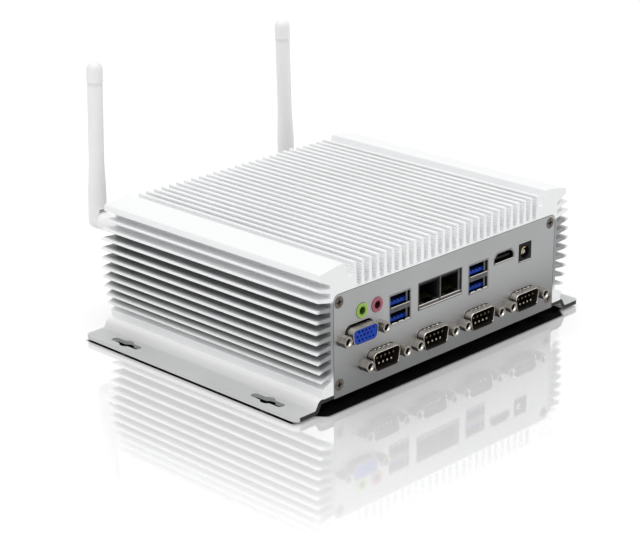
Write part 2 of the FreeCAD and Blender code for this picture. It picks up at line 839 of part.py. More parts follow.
def dsub_shell(label, x, z):
    """A pressed shell: a flange behind the panel, and a D-shaped collar that stands out through it."""
    body, kind = new_body(label), label[:3]
    flange = new_sketch(body, f"{label}_flange", "XZ_Plane", f"-{FLANGE_FRONT}")
    loop(flange, rectangle("-dsub_flange_width / 2", "dsub_flange_width / 2",
                           "-dsub_flange_height / 2", "dsub_flange_height / 2", "1.5"))
    loop(flange, dsub_inner(kind))
    for side in ("-", ""):
        circle(flange, f"{side}screwlock_spacing / 2", "0", "screwlock_bore + thread_gap")
    feature("Pad", flange, "dsub_flange_thickness")
    collar = new_sketch(body, f"{label}_collar", "XZ_Plane", "dsub_shell_reach")
    loop(collar, d_outline(f"{kind}_shell_width", f"{kind}_shell_height", "dsub_corner"))
    loop(collar, dsub_inner(kind))
    feature("Pad", collar, f"dsub_shell_reach + {FLANGE_FRONT}")
    return place(body, label, x, z=f"{SEAT} + {z}")


def dsub_insert(label, x, z, front, foot):
    """The moulded insert: it fills the collar up to its front, and its body sits behind the flange."""
    body, kind = new_body(label), label[:3]
    core = new_sketch(body, f"{label}_core", "XZ_Plane", f"-({front})")
    loop(core, dsub_inner(kind, "thread_gap"))
    feature("Pad", core, f"{FLANGE_BACK} - ({front})")
    back = new_sketch(body, f"{label}_back", "XZ_Plane", f"-{FLANGE_BACK}")
    loop(back, rectangle(f"-{kind}_shell_width / 2 - 1", f"{kind}_shell_width / 2 + 1",
                         foot, f"{kind}_shell_height / 2 + 1"))
    feature("Pad", back, "dsub_body_depth")
    return body, place(body, label, x, z=f"{SEAT} + {z}")


def pin_rows(rows, pitch, row_pitch):
    """The middles of rows of contacts, counted from the top row."""
    top = (len(rows) - 1) / 2
    return [(f"{step - (count - 1) / 2} * {pitch}", f"{top - row} * {row_pitch}")
            for row, count in enumerate(rows) for step in range(count)]


def dsub_connectors():
    posts, pins = [], []
    for x, z, name in D_SHAPES:
        dsub_shell(f"{name}_shell", x, z)
        if name == "vga":
            front = "0.3 - dsub_shell_reach"
            body, _ = dsub_insert("vga_insert", x, z, front, "-vga_shell_height / 2 - 1")
            holes = new_sketch(body, "vga_holes", "XZ_Plane", f"-({front})")
            for number, (across, up) in enumerate(pin_rows([5, 5, 5], "vga_pin_spacing", "vga_row_spacing")):
                stagger = "-" if number // 5 == 1 else "+"
                circle(holes, f"{across} {stagger} vga_pin_spacing / 4", up, "vga_hole_radius")
            feature("Pocket", holes, "3")
        else:
            front = "dsub_floor"
            dsub_insert(f"{name}_insert", x, z, front, "serial_board_height + board_thickness - com_height")
            for across, up in pin_rows([5, 4], "dsub_pin_spacing", "dsub_row_spacing"):
                pins.append(rod(f"com_pin_{len(pins) + 1}", "dsub_pin_radius", "dsub_pin_length",
                                f"{x} + {across}", f"{front} - dsub_pin_length", f"{z} + {up}"))
        for side in ("-", "+"):
            number = len(posts) + 1
            hexagonal = hexagon(f"post_{number}", "screwlock_flats", "screwlock_reach")
            bore = rod(f"post_{number}_bore", "screwlock_bore", "screwlock_reach - 1")
            shank = rod(f"post_{number}_shank", "screwlock_bore",
                        f"{FLANGE_BACK} + 1", 0, "screwlock_reach")
            mouth = taper(f"post_{number}_mouth", "screwlock_mouth", "screwlock_bore", "0.7", 0, 0)
            post = unite(f"screwlock_{number}", subtract(f"post_{number}_drilled", hexagonal, bore, mouth), shank)
            shift(post, f"{x} {side} screwlock_spacing / 2", "-screwlock_reach", z)
            posts.append(post)
    place(group("hex_screwlocks", posts), "hex_screwlocks", z=SEAT)
    place(group("com_pins", pins), "com_pins", z=SEAT)


# ---- sockets of the upper row ----

def usb_socket(side):
    """A steel cage with two ports, one above the other, and a core that carries both tongues."""
    label, x = f"usb_{side}", f"usb_{side}_across"
    port = "(usb_width / 2 - cage_wall)"
    ports = [("usb_port_pitch / 2", "upper"), ("-usb_port_pitch / 2", "lower")]
    cage = new_body(f"{label}_cage")
    outline = new_sketch(cage, f"{label}_outline", "XZ_Plane")
    loop(outline, rectangle("-usb_width / 2", "usb_width / 2", "-usb_height / 2", "usb_height / 2"))
    for z, _ in ports:
        loop(outline, rectangle(f"-{port}", port, f"{z} - usb_port_height / 2", f"{z} + usb_port_height / 2"))
    feature("Pad", outline, "usb_depth")
    place(cage, f"{label}_cage", x, z=f"{SEAT} + usb_centre")

    core = new_body(f"{label}_core")
    back = new_sketch(core, f"{label}_back", "XZ_Plane", "-usb_depth")
    loop(back, rectangle("-usb_width / 2", "usb_width / 2", "-usb_height / 2", "usb_height / 2"))
    feature("Pad", back, "1.5")
    tongues = new_sketch(core, f"{label}_tongues", "XZ_Plane", "-(usb_depth - usb_tongue_depth - 7)")
    for z, _ in ports:
        loop(tongues, rectangle("-usb_tongue_width / 2", "usb_tongue_width / 2",
                                f"{z} - usb_tongue_thickness - 0.3", f"{z} - 0.3"))
    feature("Pad", tongues, "usb_tongue_depth + 7")
    place(core, f"{label}_core", x, z=f"{SEAT} + usb_centre")


def lan_socket():
    """Two network bays side by side: a steel cage with a moulded insert, each bay with a latch notch."""
    cage = new_body("lan_cage")
    outline = new_sketch(cage, "lan_outline", "XZ_Plane")
    loop(outline, rectangle("-lan_width / 2", "lan_width / 2", "-lan_height / 2", "lan_height / 2"))
    inner_top = "(lan_height / 2 - cage_wall)"
    for left, right in (("-lan_width / 2 + cage_wall", "-cage_wall"),
                        ("cage_wall", "lan_width / 2 - cage_wall")):
        loop(outline, rectangle(left, right, f"-{inner_top}", inner_top))
    feature("Pad", outline, "lan_depth")
    place(cage, "lan_cage", "lan_across", z=f"{SEAT} + lan_centre")

    parts = []
    for side in ("-", ""):
        middle = f"{side}lan_width / 4"
        name = f"lan_insert_{len(parts) + 1}"
        half = "(lan_width / 4 - cage_wall)"
        body = block(f"{name}_block", f"{middle} - {half}", f"{middle} + {half}", "lan_insert_setback",
                     "lan_depth", f"-{inner_top}", inner_top)
        floor = "(lan_bay_height / 2 + 0.6)"
        bay = block(f"{name}_bay", f"{middle} - lan_bay_width / 2", f"{middle} + lan_bay_width / 2", "0",
                    "lan_insert_setback + lan_bay_depth", f"{floor} - lan_bay_height", floor)
        notch = block(f"{name}_notch", f"{middle} - lan_latch_width / 2", f"{middle} + lan_latch_width / 2",
                      "0", "lan_insert_setback + lan_bay_depth - 4",
                      f"{floor} - lan_bay_height - lan_latch_height", f"{floor} - lan_bay_height + 0.1")
        parts.append(subtract(name, body, bay, notch))
    place(group("lan_insert", parts), "lan_insert", "lan_across", z=f"{SEAT} + lan_centre")


def hdmi_socket():
    shell = new_body("hdmi_shell")
    outline = new_sketch(shell, "hdmi_collar", "XZ_Plane")
    loop(outline, hdmi_outline())
    loop(outline, hdmi_outline("-cage_wall"))
    feature("Pad", outline, "hdmi_depth")
    place(shell, "hdmi_shell", "hdmi_across", z=f"{SEAT} + hdmi_centre")
    back = block("hdmi_back", "-hdmi_width / 2", "hdmi_width / 2", "hdmi_depth", "hdmi_depth + 1",
                 "-hdmi_height / 2", "hdmi_height / 2")
    blade = block("hdmi_blade", "-hdmi_tongue_width / 2", "hdmi_tongue_width / 2", "1.2", "hdmi_depth + 0.5",
                  "-hdmi_tongue_thickness / 2 - 0.4", "hdmi_tongue_thickness / 2 - 0.4")
    place(unite("hdmi_tongue", back, blade), "hdmi_tongue", "hdmi_across", z=f"{SEAT} + hdmi_centre")


def dc_jack():
    case = block("dc_case", "-dc_width / 2", "dc_width / 2", "0", "dc_depth", "-dc_height / 2", "dc_height / 2")
    bore = rod("dc_bore_tool", "dc_bore", "dc_bore_depth + 1", 0, "-1")
    place(subtract("dc_jack_body", case, bore), "dc_jack_body", "dc_across", z=f"{SEAT} + dc_centre")
    place(rod("dc_jack_pin", "dc_pin_radius", "dc_bore_depth - 0.8", 0), "dc_jack_pin", "dc_across", "0.8",
          f"{SEAT} + dc_centre")


def audio_jack(label, x):
    """A coloured moulding: a round nose through the panel, a square body behind it, one bore."""
    nose = rod(f"{label}_nose", "audio_ring_radius", "audio_reach + panel_thickness", 0, "-audio_reach")
    case = block(f"{label}_case", "-audio_body_width / 2", "audio_body_width / 2", "panel_thickness",
                 "audio_depth", "-audio_ring_radius", "audio_ring_radius")
    bore = rod(f"{label}_bore", "audio_bore", "audio_bore_depth + 1", 0, "-audio_reach - 1")
    place(subtract(label, unite(f"{label}_solid", nose, case), bore), label, x, z=f"{SEAT} + audio_centre")


# ---- antennas ----

def antenna(side):
    """One antenna with the jack it screws on to. Its hinge carries it upright, leaning a little inwards."""
    sign = "-" if side == "left" else ""
    x = f"{sign}antenna_across"
    z = f"{SEAT} + antenna_height"
    out = "housing_length"
    lean = value(f"{side}_lean") * (1 if side == "left" else -1)

    barrel = rod(f"{side}_barrel", "jack_radius", "jack_tail + panel_thickness + jack_reach", 0,
                 "-panel_thickness - jack_tail")
    collar = rod(f"{side}_collar", "jack_flange_radius", "jack_flange_thickness", 0,
                 "-panel_thickness - jack_flange_thickness")
    socket = rod(f"{side}_socket", "jack_radius - 0.9", "jack_reach - 1", 0, "2")
    contact = rod(f"{side}_contact", "0.65", "jack_reach - 3", 0, "1.5")
    jack = unite(f"{side}_jack", subtract(f"{side}_jack_tube", unite(f"{side}_jack_solid", barrel, collar),
                                          socket), contact)
    place(jack, f"antenna_{side}_jack", x, out, z)

    washer = rod(f"{side}_washer", "jack_washer_radius", "jack_washer_thickness")
    nut = hexagon(f"{side}_nut_blank", "jack_nut_flats", "jack_nut_height", 0, "jack_washer_thickness")
    hole = rod(f"{side}_nut_bore", "jack_radius + thread_gap", "6", 0, "-1")
    place(subtract(f"{side}_nut", unite(f"{side}_nut_solid", washer, nut), hole), f"antenna_{side}_nut",
          x, out, z)

    shell = hexagon(f"{side}_coupling_blank", "coupling_flats", "coupling_length", 0, "coupling_setback")
    thread = rod(f"{side}_coupling_bore", "jack_radius + thread_gap", "coupling_length + 2", 0,
                 "coupling_setback - 1")
    place(subtract(f"{side}_coupling", shell, thread), f"antenna_{side}_coupling", x, out, z)

    start = "(coupling_setback + coupling_length + neck_gap)"
    stop = "(antenna_setback - whip_base_radius - neck_gap)"
    cone = taper(f"{side}_neck_barrel", "neck_radius - 0.5", "neck_radius", f"{stop} - {start}", 0, start)
    spigot = rod(f"{side}_spigot", "jack_radius + thread_gap - running_gap", f"{stop} - {start} + spigot_length",
                 0, f"{start} - spigot_length")
    blade = block(f"{side}_blade", "-tongue_width / 2", "tongue_width / 2", f"{stop} - 0.5",
                  "antenna_setback", "-neck_radius + 0.4", "neck_radius - 0.4")
    knuckle = doc.addObject("Part::Cylinder", f"{side}_knuckle")
    bind(knuckle, Radius="neck_radius - 0.4", Height="tongue_width")
    knuckle.Placement.Rotation = Rotation(Vector(0, 1, 0), 90)
    shift(knuckle, "-tongue_width / 2", "antenna_setback", 0)
    eye = doc.addObject("Part::Cylinder", f"{side}_eye")
    bind(eye, Radius="hinge_pin_radius + running_gap", Height="tongue_width + 2")
    eye.Placement.Rotation = Rotation(Vector(0, 1, 0), 90)
    shift(eye, "-tongue_width / 2 - 1", "antenna_setback", 0)
    neck = subtract(f"{side}_neck", unite(f"{side}_neck_solid", cone, spigot, blade, knuckle), eye)
    neck.Placement.Rotation = Rotation(Vector(0, 1, 0), lean)
    place(neck, f"antenna_{side}_neck", x, out, z)

    whip = new_body(f"{side}_whip_body")
    profile = new_sketch(whip, f"{side}_whip_profile", "XZ_Plane", "-antenna_setback")
    top, ring = "antenna_length", "(antenna_length - whip_cap_height)"
    loop(profile, [
        ("0", "-whip_base_radius"),
        ("whip_base_radius", "-whip_base_radius", "whip_base_radius * 0.9"),
        ("whip_base_radius", "whip_base_height", "40"),
        ("whip_stem_radius", "whip_shoulder", "40"),
        ("whip_stem_radius", f"{ring} - 3 * whip_groove"),
        ("whip_stem_radius - whip_groove_depth", f"{ring} - 3 * whip_groove"),
        ("whip_stem_radius - whip_groove_depth", f"{ring} - 2 * whip_groove"),
        ("whip_stem_radius", f"{ring} - 2 * whip_groove"),
        ("whip_stem_radius", ring),
        ("whip_stem_radius - whip_groove_depth", ring),
        ("whip_stem_radius - whip_groove_depth", f"{ring} + whip_groove"),
        ("whip_cap_radius", f"{ring} + whip_groove"),
        ("whip_cap_radius", top, "whip_cap_radius * 0.98"),
        ("0", top)])
    close_sketch(profile)
    turned = whip.newObject("PartDesign::Revolution", f"{side}_whip_turned")
    turned.Profile = profile
    turned.ReferenceAxis = (profile, ["V_Axis"])
    turned.Angle = 360
    profile.Visibility = False
    slot = new_sketch(whip, f"{side}_fork_slot", "XZ_Plane", "-(antenna_setback - 10)")
    loop(slot, rectangle("-tongue_width / 2 - tongue_gap", "tongue_width / 2 + tongue_gap",
                         "-whip_base_radius - 2", "fork_depth", "1"))
    feature("Pocket", slot, "20")
    pivot = new_sketch(whip, f"{side}_pivot", "YZ_Plane", "-whip_base_radius + 0.6")
    circle(pivot, "antenna_setback", "0", "hinge_pin_radius")
    feature("Pad", pivot, "2 * whip_base_radius - 1.2")
    whip.Placement.Rotation = Rotation(Vector(0, 1, 0), lean)
    place(whip, f"antenna_{side}_whip", x, out, z)


# ---- power button and lamps ----

def power_button():
    z = f"{SEAT} + button_height"
    rim = taper("bezel_rim", "bezel_radius", "bezel_radius - 0.5", "bezel_reach")
    barrel = rod("bezel_barrel_rod", "bezel_barrel", "bezel_depth", 0, "-bezel_depth")
    well = rod("bezel_well", "button_radius + button_gap", "bezel_depth + bezel_reach", 0, "-bezel_depth + 1")
    bezel = subtract("power_button_bezel", unite("bezel_solid", rim, barrel), well)
    place(bezel, "power_button_bezel", "button_across", "housing_length", z)
    cap = rod("button_cap", "button_radius", "button_length - 0.6")
    crown = taper("button_crown", "button_radius", "button_radius - 0.6", "0.6", 0, "button_length - 0.6")
    place(unite("power_button", cap, crown), "power_button", "button_across",
          "housing_length + button_reach - button_length", z)
    lamps = []
    for number, x in enumerate(LAMPS, 1):
        lens = rod(f"lens_{number}", "lamp_radius", "lamp_length", x, "lamp_reach - lamp_length")
        rim = rod(f"lens_rim_{number}", "lamp_flange", "1.6", x, "-panel_thickness - 1.6")
        lamps.append(unite(f"lamp_{number}", lens, rim))
    place(group("status_lamps", lamps), "status_lamps", 0, "housing_length", z)


# ---- boards inside ----

ROOF = f"({SEAT} + roof_height - roof_thickness)"
BOARD = f"({SEAT} + board_height)"
BOARD_TOP = f"({SEAT} + board_height + board_thickness)"
BOARD_SCREWS = [(f"{side}board_screw_across", row) for side in ("-", "") for row in (
    "board_setback + board_screw_inset", "board_setback + board_length - board_screw_inset")]


def mainboard():
    """The board hangs from the roof with its sockets below it and the processor on top."""
    sheet_part = block("board_sheet", "-board_half_width", "board_half_width", "board_setback",
                       "board_setback + board_length", 0, "board_thickness")
    sockets = [block(f"{card}_socket", f"{card}_across - {width} / 2", f"{card}_across + {width} / 2",
                     f"{card}_setback", f"{card}_setback + card_socket_depth", "-card_socket_height", 0)
               for card, width in (("memory", "memory_length"), ("storage", "card_width"),
                                   ("wireless", "card_width"))]
    for socket, size in (("usb_left", "usb"), ("usb_right", "usb"), ("lan", "lan"), ("hdmi", "hdmi"),
                         ("dc", "dc")):
        half = "hdmi_top_width / 2 - 1" if size == "hdmi" else f"{size}_width / 2 - 1"
        sockets.append(block(f"{socket}_seat", f"{socket}_across - ({half})", f"{socket}_across + ({half})",
                             "board_setback + 1", f"{size}_depth - 1",
                             f"{size}_centre + {size}_height / 2 - board_height", 0))
    holes = [rod(f"board_hole_{number}", "screw_shank + hole_gap", "board_thickness + 2", x, y, "-1",
                 upright=True) for number, (x, y) in enumerate(BOARD_SCREWS, 1)]
    board = subtract("mainboard", unite("board_solid", sheet_part, *sockets), *holes)
    place(board, "mainboard", z=BOARD)

    spacers = []
    screws = []
    for number, (x, y) in enumerate(BOARD_SCREWS, 1):
        tube = rod(f"spacer_{number}", "standoff_radius", f"{ROOF} - {BOARD_TOP}", x, y, BOARD_TOP, upright=True)
        bore = rod(f"spacer_bore_{number}", "screw_shank + thread_gap", f"{ROOF} - {BOARD_TOP} - 0.5", x, y,
                   BOARD_TOP, upright=True)
        spacers.append(subtract(f"board_spacer_{number}", tube, bore))
        head = rod(f"board_screw_head_{number}", "screw_head", "1.4", x, y, f"{BOARD} - 1.4", upright=True)
        shank = rod(f"board_screw_shank_{number}", "screw_shank", "board_thickness + 3.8", x, y,
                    f"{BOARD} - 1", upright=True)
        screws.append(unite(f"board_screw_{number}", head, shank))
    place(group("board_standoffs", spacers), "board_standoffs")
    place(group("board_screws", screws), "board_screws")


def centred(name, size, y, low, high, x="core_across"):
    """A flat square block about x and y."""
    return block(name, f"{x} - {size} / 2", f"{x} + {size} / 2", f"{y} - {size} / 2", f"{y} + {size} / 2",
                 low, high)


def heat_path():
    """Processor, then a copper block that carries its heat to the roof."""
    top = f"({BOARD_TOP} + processor_height)"
    place(centred("processor", "processor_size", "core_setback", BOARD_TOP, top), "processor")
    place(centred("heat_block", "heat_block_size", "core_setback", top, ROOF), "heat_block")


def cards():
    """Memory, storage and wireless cards plug in below the board; the button cell lies on it."""
    high = f"({BOARD} - card_gap)"
    for label, card, width, length in (("memory_module", "memory", "memory_length", "memory_width"),
                                       ("storage_card", "storage", "card_width", "storage_length"),
                                       ("wireless_card", "wireless", "card_width", "wireless_length")):
        x, y = f"{card}_across", f"({card}_setback + card_socket_depth)"
        place(block(label, f"{x} - {width} / 2", f"{x} + {width} / 2", y, f"{y} + {length}",
                    f"{high} - card_thickness", high), label)
    place(rod("coin_cell", "coin_radius", "coin_height", "coin_across", "coin_setback",
              f"{BOARD} - coin_height", upright=True), "coin_cell")


def elbow(name, corner, back, ahead):
    """The quarter bend of a lead at a corner, between the ways back and ahead from it."""
    made = doc.addObject("Part::Torus", name)
    bind(made, Radius1="lead_bend", Radius2="lead_radius")
    made.Angle3 = 90
    made.Placement.Rotation = Rotation(-ahead, -back, ahead.cross(back), "XYZ")
    shift(made, *(f"{place_of} + ({offset:g}) * lead_bend" for place_of, offset in zip(corner, back + ahead)))
    return made


def lead(name, stops):
    """A thin lead that follows the axes from stop to stop, with a quarter bend at each corner."""
    ways = []
    for start, end in zip(stops, stops[1:]):
        ways.append(Vector(*(value(f"{b} - {a}") for a, b in zip(start, end))).normalize())
    parts = []
    last = len(ways) - 1
    for number, way in enumerate(ways):
        start, end = stops[number], stops[number + 1]
        axis = max(range(3), key=lambda i: abs(way[i]))
        sign = "" if way[axis] > 0 else "-"
        run = doc.addObject("Part::Cylinder", f"{name}_run_{number}")
        trims = (number > 0) + (number < last)
        bind(run, Radius="lead_radius", Height=f"{sign}({end[axis]} - {start[axis]}) - {trims} * lead_bend")
        run.Placement.Rotation = Rotation(Vector(0, 0, 1), way)
        foot = list(start)
        if number > 0:
            foot[axis] = f"{start[axis]} + {sign}lead_bend"
        shift(run, *foot)
        parts.append(run)
        if number < last:
            parts.append(elbow(f"{name}_bend_{number}", end, -way, ways[number + 1]))
    return unite(name, *parts)


def antenna_leads():
    """A thin lead from each jack: forward from the jack, down, across, forward and up to the wireless card."""
    tail = "(housing_length - panel_thickness - jack_tail)"
    level, bottom = f"({SEAT} + antenna_height)", f"({SEAT} + lead_drop)"
    plug = "(wireless_setback + card_socket_depth + wireless_length - 4)"
    leads = []
    for side, sign, spread in (("left", "-", "-"), ("right", "", "+")):
        x, down = f"{sign}antenna_across", f"({tail} - {side}_lead_run)"
        end = f"(wireless_across {spread} plug_spread)"
        leads.append(lead(f"{side}_lead", [
            (x, tail, level), (x, down, level), (x, down, bottom), (end, down, bottom), (end, plug, bottom),
            (end, plug, f"({BOARD} - card_gap - card_thickness)")]))
    place(group("antenna_leads", leads), "antenna_leads")


def serial_board():
    """A narrow board that carries the four serial connectors, on small feet of its own."""
    strip = block("serial_strip", "com_first - 18", "com_first + 3 * com_pitch + 16", "serial_board_setback",
                  "serial_board_setback + serial_board_length", "serial_board_height",
                  "serial_board_height + board_thickness")
    feet = [rod(f"serial_foot_{number}", "standoff_radius", "serial_board_height + 0.4", x,
                "serial_board_setback + serial_board_length - 4", 0, upright=True)
            for number, x in enumerate(("com_first - 12", "com_first + 3 * com_pitch + 10"), 1)]
    place(unite("serial_board", strip, *feet), "serial_board", z=SEAT)


def finish():
    """Check every object and every sub-part, then write one STEP file for each."""
    doc.recompute()
    failed = [item.Name for item in doc.Objects if {"Invalid", "Error"} & set(item.State)]
    if failed:
        raise RuntimeError(f"failed: {failed}")
    for piece in pieces:
        if piece.Shape.isNull() or not piece.Shape.isValid():
            raise RuntimeError(f"bad shape: {piece.Label}")
    os.makedirs("parts", exist_ok=True)
    for piece in pieces:
        piece.Shape.exportStep(f"parts/{piece.Label}.step")


finned_housing()
io_panel()
rear_panel()
panel_screws("io_panel_screws", "0", 1)
panel_screws("rear_panel_screws", "housing_length", -1)
base_plate()
base_screws()
rubber_feet()
dsub_connectors()
usb_socket("left")
usb_socket("right")
lan_socket()
hdmi_socket()
dc_jack()
audio_jack("audio_jack_line", "audio_line_across")
audio_jack("audio_jack_mic", "audio_mic_across")
antenna("left")
antenna("right")
power_button()
mainboard()
heat_path()
cards()
serial_board()
antenna_leads()
finish()
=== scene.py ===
import json
import math

import bmesh
import bpy
from mathutils import Matrix, Vector


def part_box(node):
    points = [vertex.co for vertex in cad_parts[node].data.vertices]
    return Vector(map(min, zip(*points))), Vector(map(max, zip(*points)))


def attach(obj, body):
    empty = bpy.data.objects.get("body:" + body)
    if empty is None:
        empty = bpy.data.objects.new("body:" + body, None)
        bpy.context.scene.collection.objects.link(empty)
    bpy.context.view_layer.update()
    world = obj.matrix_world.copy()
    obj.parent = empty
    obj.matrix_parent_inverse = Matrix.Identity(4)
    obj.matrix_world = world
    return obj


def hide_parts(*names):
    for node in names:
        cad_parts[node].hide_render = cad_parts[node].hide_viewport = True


MM = 0.001

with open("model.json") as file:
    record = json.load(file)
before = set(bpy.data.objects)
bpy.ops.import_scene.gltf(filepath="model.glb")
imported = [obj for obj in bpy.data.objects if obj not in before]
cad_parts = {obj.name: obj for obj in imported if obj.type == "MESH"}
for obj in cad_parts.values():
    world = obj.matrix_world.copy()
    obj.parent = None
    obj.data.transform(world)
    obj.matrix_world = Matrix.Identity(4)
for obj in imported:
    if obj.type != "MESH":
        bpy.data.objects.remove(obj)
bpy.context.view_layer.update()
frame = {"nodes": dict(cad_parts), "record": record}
scene = bpy.context.scene
scene.view_settings.view_transform = "Standard"


# ---- places, directions and colours that several parts share ----

PANEL_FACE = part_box("io_panel")[0][1]
PLATE_LOW, PLATE_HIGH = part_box("base_plate")
WING_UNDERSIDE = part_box("finned_housing")[1][2] - 17.0 * MM
TOP_FINS_END, WING_START = 58.0 * MM, 63.0 * MM
FIN_ARC_AXIS = (-6.15 * MM, 0, 38.9 * MM)
FIN_ARC_RADIUS = 96.0 * MM
ALONG_X, ALONG_Y, ALONG_Z = (1, 0, 0), (0, 1, 0), (0, 0, 1)
BLACK = (0.004, 0.004, 0.004)


def middle_of(node):
    """The middle of a CAD node's box."""
    low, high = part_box(node)
    return tuple((first + last) / 2 for first, last in zip(low, high))


# ---- camera and lamp ----

def add_camera(position, target, lens, roll):
    """A camera at a place, looking at a target, turned a little about its own axis.

    The place and the target are in millimetres.
    """
    eye, aim = Vector(position) * MM, Vector(target) * MM
    ahead = (aim - eye).normalized()
    right = ahead.cross(Vector(ALONG_Z)).normalized()
    up = right.cross(ahead)
    across = right * math.cos(roll) + up * math.sin(roll)
    upward = up * math.cos(roll) - right * math.sin(roll)
    camera = bpy.data.objects.new("camera", bpy.data.cameras.new("camera"))
    camera.data.lens = lens
    camera.data.sensor_width = 36
    camera.data.clip_start = 0.01
    camera.data.clip_end = 20
    turned = Matrix((across, upward, -ahead)).transposed().to_4x4()
    camera.matrix_world = Matrix.Translation(eye) @ turned
    scene.collection.objects.link(camera)
    scene.camera = camera


def add_sun(name, strength, angle, direction):
    """A wide soft lamp that shines along a direction. Its angle is in degrees."""
    lamp = bpy.data.objects.new(name, bpy.data.lights.new(name, "SUN"))
    lamp.data.energy = strength
    lamp.data.angle = math.radians(angle)
    lamp.rotation_euler = Vector(direction).to_track_quat("-Z", "Y").to_euler()
    scene.collection.objects.link(lamp)


# ---- nodes ----

def add_node(tree, kind, links=None, **settings):
    """One node, with its settings, and its inputs given as values or as other nodes' outputs."""
    made = tree.nodes.new(kind)
    for name, setting in settings.items():
        setattr(made, name, setting)
    for name, source in (links or {}).items():
        if isinstance(source, bpy.types.NodeSocket):
            tree.links.new(source, made.inputs[name])
        else:
            made.inputs[name].default_value = source
    return made


def math_node(tree, operation, *values):
    """The result of a sum on values or outputs."""
    return add_node(tree, "ShaderNodeMath", dict(enumerate(values)), operation=operation).outputs[0]


def product(tree, first, *others):
    """Several values or outputs, multiplied."""
    for other in others:
        first = math_node(tree, "MULTIPLY", first, other)
    return first


def vector_node(tree, operation, *values, output="Vector"):
    """The result of a sum on vectors."""
    made = add_node(tree, "ShaderNodeVectorMath", dict(enumerate(values)), operation=operation)
    return made.outputs[output]


def mixed_colour(tree, factor, first, second):
    """A colour between two, by a factor that is another node's output."""
    mix = tree.nodes.new("ShaderNodeMix")
    mix.data_type = "RGBA"
    tree.links.new(factor, mix.inputs[0])
    for number, colour in ((6, first), (7, second)):
        if isinstance(colour, bpy.types.NodeSocket):
            tree.links.new(colour, mix.inputs[number])
        else:
            mix.inputs[number].default_value = (*colour, 1)
    return mix.outputs[2]


def remapped(tree, source, low, high, to_low=0.0, to_high=1.0):
    """A value carried smoothly from one range to another."""
    return add_node(tree, "ShaderNodeMapRange", {
        "Value": source, "From Min": low, "From Max": high, "To Min": to_low, "To Max": to_high},
        interpolation_type="SMOOTHSTEP").outputs["Result"]


def own_place(tree):
    """Where a point lies on the object."""
    return add_node(tree, "ShaderNodeTexCoord").outputs["Object"]


def distance_from_line(tree, place, centre):
    """How far a place is from a line that runs along Y through a centre."""
    apart = vector_node(tree, "SUBTRACT", place, centre)
    flat = vector_node(tree, "MULTIPLY", apart, (1, 0, 1))
    return vector_node(tree, "LENGTH", flat, output="Value")


# ---- effects that several materials use ----

def new_group(name, inputs, outputs):
    """An empty shader node group with named sockets."""
    tree = bpy.data.node_groups.new(name, "ShaderNodeTree")
    for label, kind, value in inputs:
        socket = tree.interface.new_socket(label, in_out="INPUT", socket_type=f"NodeSocket{kind}")
        if value is not None:
            socket.default_value = value
    for label, kind in outputs:
        tree.interface.new_socket(label, in_out="OUTPUT", socket_type=f"NodeSocket{kind}")
    return tree, tree.nodes.new("NodeGroupInput").outputs, tree.nodes.new("NodeGroupOutput")


def grain_group():
    """Fine grain of a blasted or moulded surface: a height, and a slow drift in roughness."""
    tree, given, result = new_group("fine_grain", [
        ("Size", "Float", 1500.0), ("Depth", "Float", 0.3), ("Roughness", "Float", 0.4),
        ("Spread", "Float", 0.08)], [("Height", "Float"), ("Roughness", "Float")])
    place = own_place(tree)
    fine = add_node(tree, "ShaderNodeTexNoise", {"Vector": place, "Scale": given["Size"], "Detail": 2.0})
    slow = add_node(tree, "ShaderNodeTexNoise", {"Vector": place, "Scale": 35.0, "Detail": 3.0})
    height = math_node(tree, "MULTIPLY", fine.outputs["Fac"], given["Depth"])
    drift = math_node(tree, "SUBTRACT", slow.outputs["Fac"], 0.5)
    shift = math_node(tree, "MULTIPLY", drift, given["Spread"])
    tree.links.new(height, result.inputs["Height"])
    tree.links.new(math_node(tree, "ADD", given["Roughness"], shift), result.inputs["Roughness"])
    return tree


def tone_group():
    """Slow drift of tone over a surface, between two colours."""
    tree, given, result = new_group("tone_drift", [
        ("Light", "Color", None), ("Dark", "Color", None), ("Size", "Float", 18.0)], [("Color", "Color")])
    noise = add_node(tree, "ShaderNodeTexNoise", {
        "Vector": own_place(tree), "Scale": given["Size"], "Detail": 4.0})
    mask = remapped(tree, noise.outputs["Fac"], 0.3, 0.7)
    tree.links.new(mixed_colour(tree, mask, given["Light"], given["Dark"]), result.inputs["Color"])
    return tree


def drawn_lines_group():
    """Faint straight lines that a die leaves along an extrusion."""
    tree, given, result = new_group("drawn_lines", [("Strength", "Float", 0.4)], [("Height", "Float")])
    drawn_out = add_node(tree, "ShaderNodeMapping", {"Vector": own_place(tree), "Scale": (1.0, 0.012, 1.0)})
    noise = add_node(tree, "ShaderNodeTexNoise", {
        "Vector": drawn_out.outputs[0], "Scale": 900.0, "Detail": 4.0})
    height = math_node(tree, "MULTIPLY", noise.outputs["Fac"], given["Strength"])
    tree.links.new(height, result.inputs["Height"])
    return tree


def ramp_group():
    """A mask that rises along a direction, measured outwards from the middle of the object."""
    tree, given, result = new_group("ramp_along", [
        ("Direction", "Vector", ALONG_Z), ("Start", "Float", 0.0), ("End", "Float", 0.01)],
        [("Mask", "Float")])
    outward = vector_node(tree, "ABSOLUTE", own_place(tree))
    along = vector_node(tree, "DOT_PRODUCT", outward, given["Direction"], output="Value")
    tree.links.new(remapped(tree, along, given["Start"], given["End"]), result.inputs["Mask"])
    return tree


